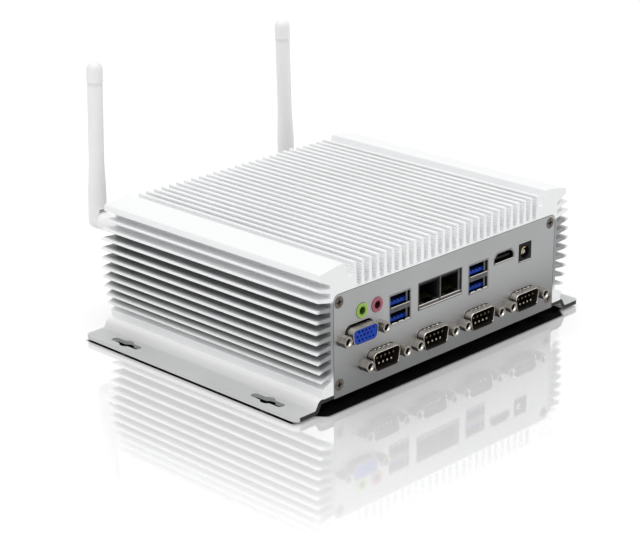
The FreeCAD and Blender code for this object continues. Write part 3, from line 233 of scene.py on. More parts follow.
def bore_group():
    """A mask that is full inside a round bore that runs along Y, and fades over a short edge."""
    tree, given, result = new_group("bore_mask", [
        ("Centre", "Vector", (0, 0, 0)), ("Radius", "Float", 2.0 * MM)], [("Mask", "Float")])
    distance = distance_from_line(tree, own_place(tree), given["Centre"])
    edge = math_node(tree, "ADD", given["Radius"], 0.12 * MM)
    tree.links.new(remapped(tree, distance, given["Radius"], edge, 1.0, 0.0), result.inputs["Mask"])
    return tree


def upward_group():
    """A mask of how much a surface faces up: plated metal is brightest where it faces up and gets painted
    shade where it faces down.
    """
    tree, _, result = new_group("faces_up", [], [("Mask", "Float")])
    facing = add_node(tree, "ShaderNodeSeparateXYZ", {
        "Vector": add_node(tree, "ShaderNodeNewGeometry").outputs["Normal"]}).outputs["Z"]
    tree.links.new(remapped(tree, facing, -0.45, 0.65), result.inputs["Mask"])
    return tree


def side_gap_group():
    """A mask of the shade between the side fins. Their tips lie on one arc, whose axis is inside the case."""
    tree, given, result = new_group("between_side_fins", [
        ("Axis", "Vector", FIN_ARC_AXIS), ("Tips", "Float", FIN_ARC_RADIUS - 0.4 * MM),
        ("Shade", "Float", FIN_ARC_RADIUS - 3.6 * MM), ("Top", "Float", WING_UNDERSIDE),
        ("Bottom", "Float", 13 * MM)], [("Mask", "Float")])
    outward = vector_node(tree, "ABSOLUTE", own_place(tree))
    reach = distance_from_line(tree, outward, given["Axis"])
    height = add_node(tree, "ShaderNodeSeparateXYZ", {"Vector": outward}).outputs["Z"]
    top_fade = math_node(tree, "ADD", given["Top"], 1.5 * MM)
    bottom_fade = math_node(tree, "ADD", given["Bottom"], 7 * MM)
    inside = remapped(tree, reach, given["Tips"], given["Shade"])
    below_wing = remapped(tree, height, given["Top"], top_fade, 1.0, 0.0)
    above_foot = remapped(tree, height, given["Bottom"], bottom_fade)
    tree.links.new(product(tree, inside, below_wing, above_foot), result.inputs["Mask"])
    return tree


GRAIN, TONE, LINES, RAMP = grain_group(), tone_group(), drawn_lines_group(), ramp_group()
BORE, UPWARD, SIDE_GAPS = bore_group(), upward_group(), side_gap_group()


def place_group(tree, group, **inputs):
    """The outputs of a node group that is set into a material."""
    return add_node(tree, "ShaderNodeGroup", inputs, node_tree=group).outputs


def finish_material(name, light, dark, roughness=0.4, metallic=0.0, grain=1500.0, depth=0.25, spread=0.08,
                    drawn=0.0, bump=0.12, tone_size=18.0, coat=0.0, gleam=0.5, ramps=(), gaps=None, bores=(),
                    underside_shade=None):
    """A surface with drifting tone and fine grain, and drawn lines where it is an extrusion.

    Each ramp is (direction, start, end, colour); most ramps paint shade or a highlight.
    Gaps is the colour of the shade between the side fins. Each bore is (centre, radius, colour) of painted
    shade.
    Gleam is how much an unplated surface shines. Underside shade is the colour of painted shade on what faces
    down.
    """
    material = bpy.data.materials.new(name)
    material.use_nodes = True
    tree = material.node_tree
    shader = tree.nodes["Principled BSDF"]
    shader.inputs["Metallic"].default_value = metallic
    shader.inputs["Coat Weight"].default_value = coat
    shader.inputs["Specular IOR Level"].default_value = gleam
    colour = place_group(tree, TONE, Light=(*light, 1), Dark=(*dark, 1), Size=tone_size)["Color"]
    grains = place_group(tree, GRAIN, Size=grain, Depth=depth, Roughness=roughness, Spread=spread)
    height = grains["Height"]
    if drawn:
        height = math_node(tree, "ADD", height, place_group(tree, LINES, Strength=drawn)["Height"])
    bumped = add_node(tree, "ShaderNodeBump", {"Height": height, "Strength": bump, "Distance": 0.2 * MM})
    if underside_shade:
        colour = mixed_colour(tree, place_group(tree, UPWARD)["Mask"], underside_shade, colour)
    for direction, start, end, far_colour in ramps:
        mask = place_group(tree, RAMP, Direction=direction, Start=start, End=end)["Mask"]
        colour = mixed_colour(tree, mask, colour, far_colour)
    if gaps:
        colour = mixed_colour(tree, place_group(tree, SIDE_GAPS)["Mask"], colour, gaps)
    for centre, radius, inner in bores:
        mask = place_group(tree, BORE, Centre=centre, Radius=radius)["Mask"]
        colour = mixed_colour(tree, mask, colour, inner)
    tree.links.new(colour, shader.inputs["Base Color"])
    tree.links.new(grains["Roughness"], shader.inputs["Roughness"])
    tree.links.new(bumped.outputs["Normal"], shader.inputs["Normal"])
    return material


# ---- world and floor ----

def white_world():
    """A white studio: pure white where it is seen or mirrored, and dimmer where it only lights."""
    seen_strength, lighting_strength = 1.0, 0.60
    world = bpy.data.worlds.new("studio")
    scene.world = world
    world.use_nodes = True
    tree = world.node_tree
    path = add_node(tree, "ShaderNodeLightPath")
    seen = math_node(tree, "MAXIMUM", path.outputs["Is Camera Ray"], path.outputs["Is Glossy Ray"])
    seen = math_node(tree, "MAXIMUM", seen, path.outputs["Is Transmission Ray"])
    strength = add_node(tree, "ShaderNodeMapRange", {
        "Value": seen, "To Min": lighting_strength, "To Max": seen_strength})
    background = tree.nodes["Background"]
    background.inputs["Color"].default_value = (1, 1, 1, 1)
    tree.links.new(strength.outputs["Result"], background.inputs["Strength"])


def painted_plate_shadow(tree, place):
    """A mask of the painted shadow on the floor under the base plate and just ahead of it, set back ahead of
    the flanges.
    """
    apart = add_node(tree, "ShaderNodeSeparateXYZ", {"Vector": place}).outputs
    outward = math_node(tree, "ABSOLUTE", apart["X"])
    side, front_edge, back_edge = PLATE_HIGH[0], PLATE_LOW[1], PLATE_HIGH[1]
    setback = remapped(tree, outward, side - 18 * MM, side - 11 * MM, 0.0, 6.2 * MM)
    forward = math_node(tree, "SUBTRACT", apart["Y"], setback)
    between_sides = remapped(tree, outward, side - 0.4 * MM, side + 0.2 * MM, 1.0, 0.0)
    behind_front = remapped(tree, forward, front_edge - 5.0 * MM, front_edge - 2.2 * MM)
    ahead_of_back = remapped(tree, apart["Y"], back_edge - 2 * MM, back_edge + 1 * MM, 1.0, 0.0)
    return product(tree, between_sides, behind_front, ahead_of_back)


def white_floor():
    """A wide glossy floor. Its gloss fades away from the object, and a painted shadow darkens it and dulls
    its gloss under the plate.
    """
    near_gloss, far_gloss, camera_lift, plate_shade = 0.44, 0.03, 0.16, 0.9
    reach = 6000 * MM
    mesh = bpy.data.meshes.new("floor")
    corners = [(-reach, -reach, 0), (reach, -reach, 0), (reach, reach, 0), (-reach, reach, 0)]
    mesh.from_pydata(corners, [], [(0, 1, 2, 3)])
    floor = bpy.data.objects.new("floor", mesh)
    scene.collection.objects.link(floor)
    material = bpy.data.materials.new("glossy_white_floor")
    material.use_nodes = True
    tree = material.node_tree
    tree.nodes.remove(tree.nodes["Principled BSDF"])
    place = own_place(tree)
    distance = vector_node(tree, "LENGTH", place, output="Value")
    # Under the plate the floor gets a painted shadow: black, without the glow, and with little gloss.
    under = painted_plate_shadow(tree, place)
    matte = add_node(tree, "ShaderNodeBsdfDiffuse", {
        "Color": mixed_colour(tree, under, (0.9, 0.9, 0.9), BLACK)})
    mirror = add_node(tree, "ShaderNodeBsdfGlossy", {"Color": (1, 1, 1, 1), "Roughness": 0.04})
    seen = add_node(tree, "ShaderNodeLightPath").outputs["Is Camera Ray"]
    lift = product(tree, seen, camera_lift, math_node(tree, "SUBTRACT", 1.0, under))
    glow = add_node(tree, "ShaderNodeEmission", {"Color": (1, 1, 1, 1), "Strength": lift})
    lifted = add_node(tree, "ShaderNodeAddShader", {0: matte.outputs[0], 1: glow.outputs[0]})
    dulled = math_node(tree, "SUBTRACT", 1.0, product(tree, under, plate_shade))
    fading = remapped(tree, distance, 120 * MM, 340 * MM, near_gloss, far_gloss)
    gloss = product(tree, fading, dulled)
    mixed = add_node(tree, "ShaderNodeMixShader", {0: gloss, 1: lifted.outputs[0], 2: mirror.outputs[0]})
    tree.links.new(mixed.outputs[0], tree.nodes["Material Output"].inputs["Surface"])
    mesh.materials.append(material)


# ---- finishes ----

def grey(level, tint=0.0):
    """A near-neutral colour, which a tint above zero makes cooler."""
    return (level * (1 - tint), level, level * (1 + tint))


def shade_deep_in(depth, fade=2.0):
    """A ramp of painted shade that turns black from a depth behind the socket panel's face. Both are in
    millimetres.
    """
    start = -(PANEL_FACE + depth * MM)
    return (ALONG_Y, start, start - fade * MM, BLACK)


def painted_bore_shade(node, ring):
    """Painted shade in an audio socket: its near-black bore, and the darker ring round it."""
    centre, bore = middle_of(node), tuple(0.04 * part for part in ring)
    return [(centre, 2.5 * MM, ring), (centre, 1.75 * MM, bore)]


PLATE_FRONT = -PLATE_LOW[1]
PIN_ROWS_MIDDLE = middle_of("com_pins")[2]
BLUE_MOULDING = ((0.004, 0.050, 0.42), (0.003, 0.036, 0.32))

# Ramps that turn black behind the panel's face are painted shade inside the sockets, and the underside
# colours are painted shade on what faces down.
FINISHES = {
    # The wings are painted a little darker than the fins, painted shade that tempers the full light on them;
    # the gaps colour is painted shade between the side fins.
    "anodised_aluminium": finish_material(
        "satin_anodised_extrusion", grey(0.97, 0.006), grey(0.93, 0.006), roughness=0.42, metallic=0.15,
        drawn=0.5, depth=0.2, grain=2600.0,
        ramps=[(ALONG_X, TOP_FINS_END, WING_START, grey(0.91, 0.006))], gaps=grey(0.30, 0.02)),
    # The panel's grey is set far below the housing's, painted shade for the dimmer light on it, and it
    # darkens further towards the bottom, more painted shade.
    "panel_aluminium": finish_material(
        "satin_panel", grey(0.43, 0.01), grey(0.39, 0.01), roughness=0.42, metallic=0.45, grain=3200.0,
        depth=0.3, ramps=[(ALONG_Z, 40 * MM, 6 * MM, grey(0.215, 0.01))]),
    # The riser and raised middle are painted almost white, a painted highlight where the fins shade them; the
    # plate's end edges turn black.
    "plate_steel": finish_material(
        "grey_powder_coat", grey(0.62, 0.006), grey(0.56, 0.006), roughness=0.5, metallic=0.1,
        grain=1800.0, depth=0.5,
        ramps=[(ALONG_X, PLATE_HIGH[0] - 10.0 * MM, PLATE_HIGH[0] - 17.0 * MM, grey(0.98)),
               (ALONG_Y, PLATE_FRONT - 0.25 * MM, PLATE_FRONT - 0.05 * MM, BLACK)]),
    "black_screws": finish_material(
        "dark_nickel_screws", (0.30, 0.27, 0.24), (0.19, 0.17, 0.15), roughness=0.3, metallic=1.0,
        tone_size=400.0, underside_shade=(0.08, 0.07, 0.06)),
    "nickel": finish_material(
        "bright_nickel", (0.80, 0.76, 0.70), (0.62, 0.58, 0.53), roughness=0.24, metallic=1.0, spread=0.12,
        tone_size=260.0, underside_shade=(0.075, 0.066, 0.058), ramps=[shade_deep_in(0.1, 0.4)]),
    "steel_cage": finish_material(
        "tinned_steel", grey(0.34), grey(0.26), roughness=0.34, metallic=0.9, tone_size=160.0,
        ramps=[shade_deep_in(0.25, 1.2)]),
    "black_plastic": finish_material(
        "black_moulding", grey(0.010), grey(0.006), roughness=0.55, depth=0.4, gleam=0.12,
        ramps=[shade_deep_in(2.0, 3.0)]),
    "blue_plastic": finish_material(
        "blue_moulding", *BLUE_MOULDING, roughness=0.4, tone_size=300.0, gleam=0.15,
        ramps=[shade_deep_in(4.5, 2.5)]),
    "green_plastic": finish_material(
        "lime_moulding", (0.34, 0.56, 0.08), (0.28, 0.48, 0.06), roughness=0.32,
        bores=painted_bore_shade("audio_jack_line", (0.20, 0.36, 0.04))),
    "pink_plastic": finish_material(
        "pink_moulding", (0.42, 0.10, 0.15), (0.34, 0.08, 0.12), roughness=0.32,
        bores=painted_bore_shade("audio_jack_mic", (0.26, 0.05, 0.08))),
    "gold": finish_material(
        "gold_plate", (0.72, 0.56, 0.30), (0.58, 0.44, 0.22), roughness=0.25, metallic=1.0, tone_size=200.0),
    "white_plastic": finish_material("white_moulding", grey(0.93), grey(0.89), roughness=0.4, depth=0.3),
    "rubber": finish_material("black_rubber", grey(0.02), grey(0.012), roughness=0.75, depth=0.8, bump=0.3),
    "lamp_lens": finish_material(
        "clear_lens", (0.55, 0.75, 0.60), (0.45, 0.66, 0.52), roughness=0.15, coat=0.5),
    "board": finish_material(
        "solder_mask", (0.012, 0.16, 0.05), (0.008, 0.11, 0.035), roughness=0.3, coat=0.3, tone_size=300.0),
    "silicon": finish_material(
        "polished_die", grey(0.12, 0.05), grey(0.09, 0.05), roughness=0.15, metallic=0.6),
    "copper": finish_material(
        "bare_copper", (0.80, 0.38, 0.22), (0.70, 0.31, 0.17), roughness=0.3, metallic=1.0, tone_size=80.0),
}
# Its underside colour is painted shade on what faces down.
BRIGHT_STEEL = finish_material(
    "bright_steel_lips", (0.86, 0.82, 0.76), (0.74, 0.70, 0.65), roughness=0.22, metallic=1.0,
    tone_size=260.0, underside_shade=(0.16, 0.15, 0.14))
FOLDED_STEEL = finish_material(
    "dull_folded_steel", grey(0.13), grey(0.09), roughness=0.45, metallic=0.8, tone_size=300.0)
# Painted shade for the inside of the serial shells, their dimples and the low side of their rims.
SHELL_PAINTED_SHADE = finish_material(
    "nickel_painted_shade", (0.035, 0.030, 0.026), (0.020, 0.018, 0.016), roughness=0.5, metallic=0.6,
    tone_size=300.0)
CONTACT_GOLD = finish_material(
    "contact_gold", (0.13, 0.095, 0.04), (0.08, 0.06, 0.025), roughness=0.4, metallic=0.9, tone_size=400.0)
CONTACT_DARK = finish_material(
    "shaded_contacts", (0.004, 0.006, 0.020), (0.003, 0.004, 0.012), roughness=0.4, gleam=0.1,
    tone_size=400.0)
# The upper row of pins is painted dimmer, painted shade from the shell above, and the pins turn black behind
# their tips, painted shade inside the socket.
PIN_TIPS = finish_material(
    "pin_tips", (0.46, 0.41, 0.31), (0.34, 0.30, 0.22), roughness=0.3, metallic=1.0, tone_size=500.0,
    ramps=[(ALONG_Z, PIN_ROWS_MIDDLE, PIN_ROWS_MIDDLE + 0.6 * MM, (0.13, 0.10, 0.05)),
           shade_deep_in(-2.55, 0.3)])
# The insert turns black behind its front face, painted shade inside the shell.
DISPLAY_INSERT = finish_material(
    "blue_display_insert", *BLUE_MOULDING, roughness=0.4, tone_size=300.0, gleam=0.15,
    ramps=[shade_deep_in(-3.65, 0.4)])
OWN_FINISH = {"com_pins": PIN_TIPS, "vga_insert": DISPLAY_INSERT, "dc_jack_pin": BRIGHT_STEEL,
              "lan_cage": FOLDED_STEEL}

SLOTS = {entry["node"]: entry["material_slot"] for entry in frame["record"]["subparts"]}
for node_name, node_object in frame["nodes"].items():
    node_object.data.materials.clear()
    node_object.data.materials.append(OWN_FINISH.get(node_name, FINISHES[SLOTS[node_name]]))


# ---- pieces that repeat or follow a path ----

def size_inputs(tree, sizes):
    """Named size inputs and a finish input on a Geometry Nodes tree."""
    tree.interface.new_socket("Geometry", in_out="INPUT", socket_type="NodeSocketGeometry")
    for label, value in sizes:
        tree.interface.new_socket(label, in_out="INPUT", socket_type="NodeSocketFloat").default_value = value
    tree.interface.new_socket("Finish", in_out="INPUT", socket_type="NodeSocketMaterial")
    tree.interface.new_socket("Geometry", in_out="OUTPUT", socket_type="NodeSocketGeometry")
    return tree.nodes.new("NodeGroupInput").outputs, tree.nodes.new("NodeGroupOutput")


def close_tree(tree, geometry, given, result):
    """Every tree ends in real geometry with its finish."""
    real = add_node(tree, "GeometryNodeRealizeInstances", {"Geometry": geometry}).outputs[0]
    painted = add_node(tree, "GeometryNodeSetMaterial", {"Geometry": real, "Material": given["Finish"]})
    tree.links.new(painted.outputs[0], result.inputs["Geometry"])


def moved_along_z(tree, geometry, distance):
    """Geometry moved along Z by an output."""
    movement = add_node(tree, "ShaderNodeCombineXYZ", {"Z": distance}).outputs[0]
    return add_node(tree, "GeometryNodeTransform", {"Geometry": geometry, "Translation": movement}).outputs[0]


HEAD_RADIUS = 2.7 * MM


def screw_tree():
    """A countersunk screw with a cross recess on each point, turned to the point's own facing."""
    tree = bpy.data.node_groups.new("cross_recess_screws", "GeometryNodeTree")
    given, result = size_inputs(tree, [
        ("Head Radius", HEAD_RADIUS), ("Head Height", 1.5 * MM), ("Recess Width", 0.8 * MM),
        ("Recess Length", 3.2 * MM), ("Recess Depth", 0.9 * MM), ("Shank Radius", 1.2 * MM),
        ("Shank Length", 7.0 * MM)])
    head = add_node(tree, "GeometryNodeMeshCone", {
        "Vertices": 40, "Radius Top": given["Head Radius"], "Radius Bottom": given["Shank Radius"],
        "Depth": given["Head Height"]}).outputs["Mesh"]
    cut = moved_along_z(tree, head, math_node(tree, "MULTIPLY", given["Head Height"], -1.0))
    # Each arm of the cross is centred on the top of the head, so that half of its height is inside.
    # The second arm is a little deeper than the first, so that no two faces share a plane.
    width, length = given["Recess Width"], given["Recess Length"]
    for across, along, share in ((length, width, 2.0), (width, length, 2.2)):
        height = math_node(tree, "MULTIPLY", given["Recess Depth"], share)
        size = add_node(tree, "ShaderNodeCombineXYZ", {"X": across, "Y": along, "Z": height}).outputs[0]
        arm = add_node(tree, "GeometryNodeMeshCube", {"Size": size}).outputs["Mesh"]
        cut = add_node(tree, "GeometryNodeMeshBoolean", {"Mesh 1": cut, "Mesh 2": arm},
                       operation="DIFFERENCE").outputs["Mesh"]
    cut = add_node(tree, "GeometryNodeMergeByDistance", {"Geometry": cut, "Distance": 0.004 * MM}).outputs[0]
    shank = add_node(tree, "GeometryNodeMeshCylinder", {
        "Vertices": 20, "Radius": given["Shank Radius"], "Depth": given["Shank Length"]}).outputs["Mesh"]
    both = math_node(tree, "ADD", given["Shank Length"], given["Head Height"])
    below_recess = 0.6 * MM
    drop = math_node(tree, "SUBTRACT", math_node(tree, "MULTIPLY", both, -0.5), below_recess)
    shank = moved_along_z(tree, shank, drop)
    joined = tree.nodes.new("GeometryNodeJoinGeometry")
    for part in (shank, cut):
        tree.links.new(part, joined.inputs[0])
    facing = add_node(tree, "GeometryNodeInputNamedAttribute", {"Name": "facing"}, data_type="FLOAT_VECTOR")
    turned = add_node(tree, "FunctionNodeAlignRotationToVector", {"Vector": facing.outputs["Attribute"]},
                      axis="Z")
    placed = add_node(tree, "GeometryNodeInstanceOnPoints", {
        "Points": given["Geometry"], "Instance": joined.outputs[0], "Rotation": turned.outputs[0]})
    close_tree(tree, placed.outputs[0], given, result)
    return tree


def bar_tree():
    """A round bar along each line of edges."""
    tree = bpy.data.node_groups.new("bars_along_lines", "GeometryNodeTree")
    given, result = size_inputs(tree, [("Radius", 0.3 * MM)])
    curve = add_node(tree, "GeometryNodeMeshToCurve", {"Mesh": given["Geometry"]}).outputs[0]
    ring = add_node(tree, "GeometryNodeCurvePrimitiveCircle", {"Resolution": 12, "Radius": given["Radius"]})
    bar = add_node(tree, "GeometryNodeCurveToMesh", {
        "Curve": curve, "Profile Curve": ring.outputs["Curve"], "Fill Caps": True})
    smooth = add_node(tree, "GeometryNodeSetShadeSmooth", {"Geometry": bar.outputs[0]})
    close_tree(tree, smooth.outputs[0], given, result)
    return tree


SCREWS, BARS = screw_tree(), bar_tree()


def grow(name, tree, mesh, slot, finish, body="case", **sizes):
    """A piece that a tree grows from a mesh of points or lines. It rides on one body."""
    piece = bpy.data.objects.new(name, mesh)
    scene.collection.objects.link(piece)
    modifier = piece.modifiers.new("grow", "NODES")
    modifier.node_group = tree
    wanted = {"Finish": finish, **{label.replace("_", " "): size for label, size in sizes.items()}}
    for item in tree.interface.items_tree:
        if item.in_out == "INPUT" and item.name in wanted:
            modifier[item.identifier] = wanted[item.name]
    grown = piece.evaluated_get(bpy.context.evaluated_depsgraph_get())
    piece.data = bpy.data.meshes.new_from_object(grown)
    piece.modifiers.clear()
    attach(piece, body)
    return piece


def grow_screws(name, places, facing, **sizes):
    """A set of cross-recess screws at places, which all face the same way."""
    mesh = bpy.data.meshes.new("screw_places")
    mesh.from_pydata(places, [], [])
    attribute = mesh.attributes.new("facing", "FLOAT_VECTOR", "POINT")
    for entry in attribute.data:
        entry.vector = facing
    return grow(name, SCREWS, mesh, "black_screws", FINISHES["black_screws"], **sizes)


def grow_bars(name, finish, radius, paths, slot="steel_cage"):
    """Round bars along paths, each a list of places. The radius is in millimetres."""
    mesh = bpy.data.meshes.new("lines")
    places, edges = [], []
    for path in paths:
        first = len(places)
        places += path
        edges += [(first + step, first + step + 1) for step in range(len(path) - 1)]
    mesh.from_pydata(places, edges, [])
    return grow(name, BARS, mesh, slot, finish, Radius=radius * MM)


def panel_screw_set(node, name, towards):
    """The four screws of an end panel."""
    low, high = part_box(node)
    face = low[1] if towards < 0 else high[1]
    columns = (low[0] + HEAD_RADIUS, high[0] - HEAD_RADIUS)
    rows = (low[2] + HEAD_RADIUS, high[2] - HEAD_RADIUS)
    piece = grow_screws(name, [(x, face, z) for x in columns for z in rows], (0, towards, 0))
    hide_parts(node)


def base_screw_set():
    """The six screws that hold the base plate, from below."""
    low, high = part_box("base_screws")
    columns = (low[0] + HEAD_RADIUS, high[0] - HEAD_RADIUS)
    rows = (low[1] + HEAD_RADIUS, (low[1] + high[1]) / 2, high[1] - HEAD_RADIUS)
    places = [(x, y, low[2]) for x in columns for y in rows]
    piece = grow_screws("base_cross_screws", places, (0, 0, -1), Shank_Length=5.5 * MM)
    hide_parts("base_screws")


panel_screw_set("io_panel_screws", "socket_panel_cross_screws", -1)
panel_screw_set("rear_panel_screws", "rear_panel_cross_screws", 1)
base_screw_set()


# ---- pressed shells of the serial sockets ----

# Lengths are in millimetres, and y is measured from the socket panel's face.
SHELL_WIDTH, SHELL_HEIGHT, SHELL_CORNER, SHELL_LEAN = 17.8, 9.2, 2.6, math.radians(10)
SHELL_REACH, SHELL_WALL, PANEL_SHEET, FLANGE_SHEET = 4.1, 0.5, 2.0, 0.8
DIMPLE_PITCH, DIMPLE_RADIUS, DIMPLE_DEPTH, DIMPLE_FROM_PANEL = 2.9, 0.8, 0.5, 0.9
DIMPLE_SQUASH, DIMPLE_SHADED = 0.8, 0.22
CORNER_STEPS, LONG_EDGE_STEPS, SHORT_EDGE_STEPS = 12, 60, 12
RING_COUNT, RING_PITCH, RIM_START, RIM_BULGE, RIM_STEPS = 30, 0.2, 0.35, 0.25, 6
LOW_RIM_FROM = 0.38 * SHELL_HEIGHT


def on_circle(x, z, radius, angle):
    """A point on a circle round a centre."""
    return (x + radius * math.cos(angle), z + radius * math.sin(angle))


def d_loop(grow_by):
    """Points round the D-shaped outline, each edge and corner in equal steps."""
    width, height = SHELL_WIDTH + 2 * grow_by, SHELL_HEIGHT + 2 * grow_by
    corner = SHELL_CORNER + grow_by
    top_x, top_z = width / 2 - corner, height / 2 - corner
    low_x = top_x - (height - 2 * corner) * math.tan(SHELL_LEAN)
    corners = [(top_x, top_z, -SHELL_LEAN, math.pi / 2),
               (-top_x, top_z, math.pi / 2, math.pi + SHELL_LEAN),
               (-low_x, -top_z, math.pi + SHELL_LEAN, 1.5 * math.pi),
               (low_x, -top_z, 1.5 * math.pi, 2 * math.pi - SHELL_LEAN)]
    points = []
    for number, (x, z, start, end) in enumerate(corners):
        points += [on_circle(x, z, corner, start + (end - start) * step / CORNER_STEPS)
                   for step in range(CORNER_STEPS + 1)]
        last = points[-1]
        next_x, next_z, next_start, _ = corners[(number + 1) % 4]
        goal = on_circle(next_x, next_z, corner, next_start)
        count = LONG_EDGE_STEPS if number % 2 == 0 else SHORT_EDGE_STEPS
        points += [tuple(here + (there - here) * step / count for here, there in zip(last, goal))
                   for step in range(1, count)]
    return points


def flange_loop(half_width, half_height, around):
    """The flange's edge, met by a ray through each point of the outline."""
    tiny = 1e-6
    reach = [min(half_width / max(abs(x), tiny), half_height / max(abs(z), tiny)) for x, z in around]
    return [(x * share, z * share) for (x, z), share in zip(around, reach)]


def dimple(x, y):
    """How far the four pressed dimples push the shell's top in."""
    push = 0.0
    for number in range(4):
        across = (x - (number - 1.5) * DIMPLE_PITCH) / DIMPLE_RADIUS
        along = (y + DIMPLE_FROM_PANEL) / (DIMPLE_SQUASH * DIMPLE_RADIUS)
        push = max(push, 1.0 - (across ** 2 + along ** 2) ** 2)
    return DIMPLE_DEPTH * max(0.0, push) ** 0.5


def shell_rings(half_width, half_height):
    """Rings from the flange forwards along the outside, round the front rim, and back along the inside.

    Each ring is (points, distance from the panel's face, whether the dimples press it).
    """
    outer, inner = d_loop(0.0), d_loop(-SHELL_WALL)
    edge = flange_loop(half_width, half_height, outer)
    steps = [PANEL_SHEET - step * RING_PITCH for step in range(RING_COUNT)]
    straight = [y for y in steps if y > RIM_START - SHELL_REACH]
    rings = [(outer, y, True) for y in straight]
    for turn in range(1, RIM_STEPS):
        angle = math.pi * turn / RIM_STEPS
        offset = SHELL_WALL / 2 * (math.cos(angle) - 1)
        rings.append((d_loop(offset), RIM_BULGE - SHELL_REACH - RIM_BULGE * math.sin(angle), False))
    rings += [(inner, y, True) for y in reversed(straight)]
    back = PANEL_SHEET + FLANGE_SHEET
    return rings + [(inner, back, False), (edge, back, False), (edge, PANEL_SHEET, False)]


def paint_shell(mesh, rings, centre_x, centre_z):
    """Bright plating, with painted shade inside, in the dimples and under the low side of the rim."""
    mesh.materials.append(FINISHES["nickel"])
    mesh.materials.append(SHELL_PAINTED_SHADE)
    count = len(rings[0][0])
    outside = sum(pressed for _, _, pressed in rings) // 2
    rim_rings, flange_rings = RIM_STEPS - 1, 3
    for number, face in enumerate(mesh.polygons):
        ring = number // count
        x, y = (face.center[0] - centre_x) / MM, (face.center[1] - PANEL_FACE) / MM
        in_dimple = ring < outside and face.center[2] > centre_z and dimple(x, y) > DIMPLE_SHADED
        low_rim = ring >= outside and face.center[2] < centre_z - LOW_RIM_FROM * MM
        inside = outside + rim_rings <= ring < len(rings) - flange_rings
        face.use_smooth = True
        face.material_index = 1 if in_dimple or low_rim or inside else 0


def formed_shell(number):
    """One serial socket's shell with its rolled front rim, flange and pressed dimples."""
    node = f"com_{number}_shell"
    low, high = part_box(node)
    centre_x, _, centre_z = middle_of(node)
    rings = shell_rings((high[0] - low[0]) / 2 / MM, (high[2] - low[2]) / 2 / MM)
    places = []
    for around, y, pressed in rings:
        for x, z in around:
            push = dimple(x, y) if pressed and z > SHELL_HEIGHT / 2 - SHELL_CORNER else 0.0
            places.append((centre_x + x * MM, PANEL_FACE + y * MM, centre_z + (z - push) * MM))
    count = len(rings[0][0])
    faces = []
    for ring in range(len(rings)):
        here, there = ring * count, (ring + 1) % len(rings) * count
        faces += [(here + step, here + (step + 1) % count, there + (step + 1) % count, there + step)
                  for step in range(count)]
    mesh = bpy.data.meshes.new(f"com_{number}_formed_shell")
    mesh.from_pydata(places, [], faces)
    shape = bmesh.new()
    shape.from_mesh(mesh)
    bmesh.ops.recalc_face_normals(shape, faces=shape.faces)
    shape.to_mesh(mesh)
    shape.free()
    paint_shell(mesh, rings, centre_x, centre_z)
    shell = bpy.data.objects.new(f"com_{number}_formed_shell", mesh)
    scene.collection.objects.link(shell)
    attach(shell, "case")
    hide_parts(node)


for shell_number in range(1, 5):
    formed_shell(shell_number)


# ---- lips, springs and contacts in the upper sockets ----

USB_CONTACT_BENDS = ((1.35, -0.5), (1.5, 0.08), (2.2, 0.22), (7.5, 0.12))
LAN_CONTACT_BENDS = ((2.2, 3.9), (5.0, 4.8), (10.0, 6.8))


def across_line(start, end, y, z):
    """A line across a socket."""
    return [(start, y, z), ((start + end) / 2, y, z), (end, y, z)]


def upright_lines(right, insets, y, bottom, top):
    """Upright lines side by side. Each inset is how far a line is from the right, in millimetres."""
    return [[(right - inset * MM, y, bottom), (right - inset * MM, y, top)] for inset in insets]


def contact_line(x, base, bends):
    """A contact's line. Each bend is (millimetres behind the panel's face, millimetres above a base)."""
    return [(x, PANEL_FACE + inward * MM, base + rise * MM) for inward, rise in bends]


def usb_details(side):
    """Bright notched lips, a folded divider, and the contacts on both tongues."""
    low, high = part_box(f"usb_{side}_cage")
    centre_x, _, centre_z = middle_of(f"usb_{side}_cage")
    proud, inset, pitch = 0.05 * MM, 0.9 * MM, 2.4
    tab_share, tab_starts = 0.24, (0.02, 0.38, 0.74)
    divider_heights, port_heights = (-1.1, -0.7, -0.3, 0.1, 0.5, 0.9), (4.0, -4.0)
    wall_spans, wall_insets = ((-6.6, -1.6), (1.4, 6.6)), (0.7, 1.05, 1.4)
    face = PANEL_FACE - proud
    left, right = low[0] + inset, high[0] - inset
    tabs = [across_line(left + start * (right - left), left + (start + tab_share) * (right - left),
                        face - 0.2 * MM, low[2] + 0.85 * MM) for start in tab_starts]
    lip = across_line(left, right, face, low[2] + 0.3 * MM)
    grow_bars(f"usb_{side}_lower_lips", BRIGHT_STEEL, 0.35, [*tabs, lip])
    fold = across_line(left, right, face, centre_z + 1.15 * MM)
    grow_bars(f"usb_{side}_divider_fold", BRIGHT_STEEL, 0.26, [fold])
    divider = [across_line(left - 0.3 * MM, right + 0.3 * MM, face + 0.25 * MM, centre_z + height * MM)
               for height in divider_heights]
    grow_bars(f"usb_{side}_divider", FOLDED_STEEL, 0.34, divider)
    wall = []
    for bottom, top in wall_spans:
        wall += upright_lines(right, wall_insets, PANEL_FACE + 0.9 * MM,
                              centre_z + bottom * MM, centre_z + top * MM)
    grow_bars(f"usb_{side}_side_wall", FOLDED_STEEL, 0.3, wall)
    contacts = [contact_line(centre_x + (step - 1.5) * pitch * MM, centre_z + (port - 0.3) * MM,
                             USB_CONTACT_BENDS) for port in port_heights for step in range(4)]
    grow_bars(f"usb_{side}_contacts", CONTACT_DARK, 0.38, contacts, slot="gold")


for usb_side in ("left", "right"):
    usb_details(usb_side)


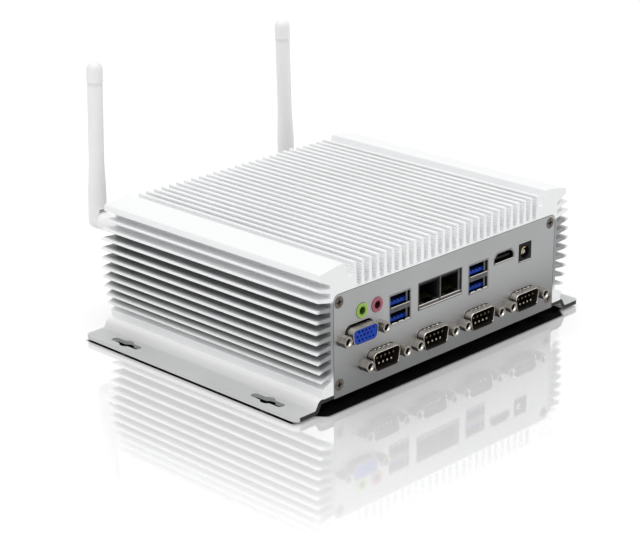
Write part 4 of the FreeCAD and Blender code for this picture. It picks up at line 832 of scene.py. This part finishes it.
def lan_details():
    """The folded steel lip below both network bays, the side cheek, and eight contacts in each bay."""
    low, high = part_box("lan_cage")
    proud, inset, pitch = 0.05 * MM, 0.5 * MM, 1.02
    cheek_insets = (0.5, 0.8, 1.1, 1.4)
    face = PANEL_FACE
    left, right = low[0] + inset, high[0] - inset
    lips = [across_line(left, right, face - proud, low[2] + 0.45 * MM),
            across_line(left, right, face + 0.5 * MM, low[2] + 1.9 * MM)]
    grow_bars("lan_lower_lip", BRIGHT_STEEL, 0.34, lips)
    slope = [across_line(left, right, face + (0.4 + 0.12 * step) * MM, low[2] + (0.8 + 0.2 * step) * MM)
             for step in range(6)]
    grow_bars("lan_lip_slope", FOLDED_STEEL, 0.3, slope)
    cheek = upright_lines(right, cheek_insets, face + 0.7 * MM, low[2] + 2.0 * MM, high[2] - 0.8 * MM)
    grow_bars("lan_side_cheek", FOLDED_STEEL, 0.22, cheek)
    middle, quarter = (low[0] + high[0]) / 2, (high[0] - low[0]) / 4
    contacts = [contact_line(bay + (step - 3.5) * pitch * MM, low[2], LAN_CONTACT_BENDS)
                for bay in (middle - quarter, middle + quarter) for step in range(8)]
    grow_bars("lan_contacts", CONTACT_GOLD, 0.18, contacts, slot="gold")


def hdmi_and_power_details():
    """The display socket's bright lower lip, the power socket's gold leaf spring, and its lower lip."""
    low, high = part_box("hdmi_shell")
    lip = across_line(low[0] + 0.6 * MM, high[0] - 0.6 * MM, PANEL_FACE - 0.05 * MM, low[2] + 0.3 * MM)
    grow_bars("hdmi_lower_lip", BRIGHT_STEEL, 0.32, [lip])
    x, _, z = middle_of("dc_jack_pin")
    aside, radius = 0.4, 2.2
    turns = [math.radians(angle) for angle in range(75, 206, 10)]
    arc = [(x + (aside + radius * math.cos(turn)) * MM, PANEL_FACE + 0.8 * MM,
            z + radius * MM * math.sin(turn)) for turn in turns]
    grow_bars("power_leaf_spring", FINISHES["gold"], 0.36, [arc], slot="gold")
    low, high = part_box("dc_jack_body")
    lip = across_line(low[0] + 0.3 * MM, high[0] - 0.3 * MM, PANEL_FACE, low[2] + 0.2 * MM)
    grow_bars("power_socket_lower_lip", BRIGHT_STEEL, 0.22, [lip])


lan_details()
hdmi_and_power_details()


# ---- the shot ----

add_camera(position=(-633.58, -627.54, 349.35), target=(-7.67, -9.93, 25.08), lens=106.93,
           roll=math.radians(-0.50))
white_world()
white_floor()
add_sun("softbox_above", strength=1.46, angle=75, direction=(0.14, 0.12, -1.0))
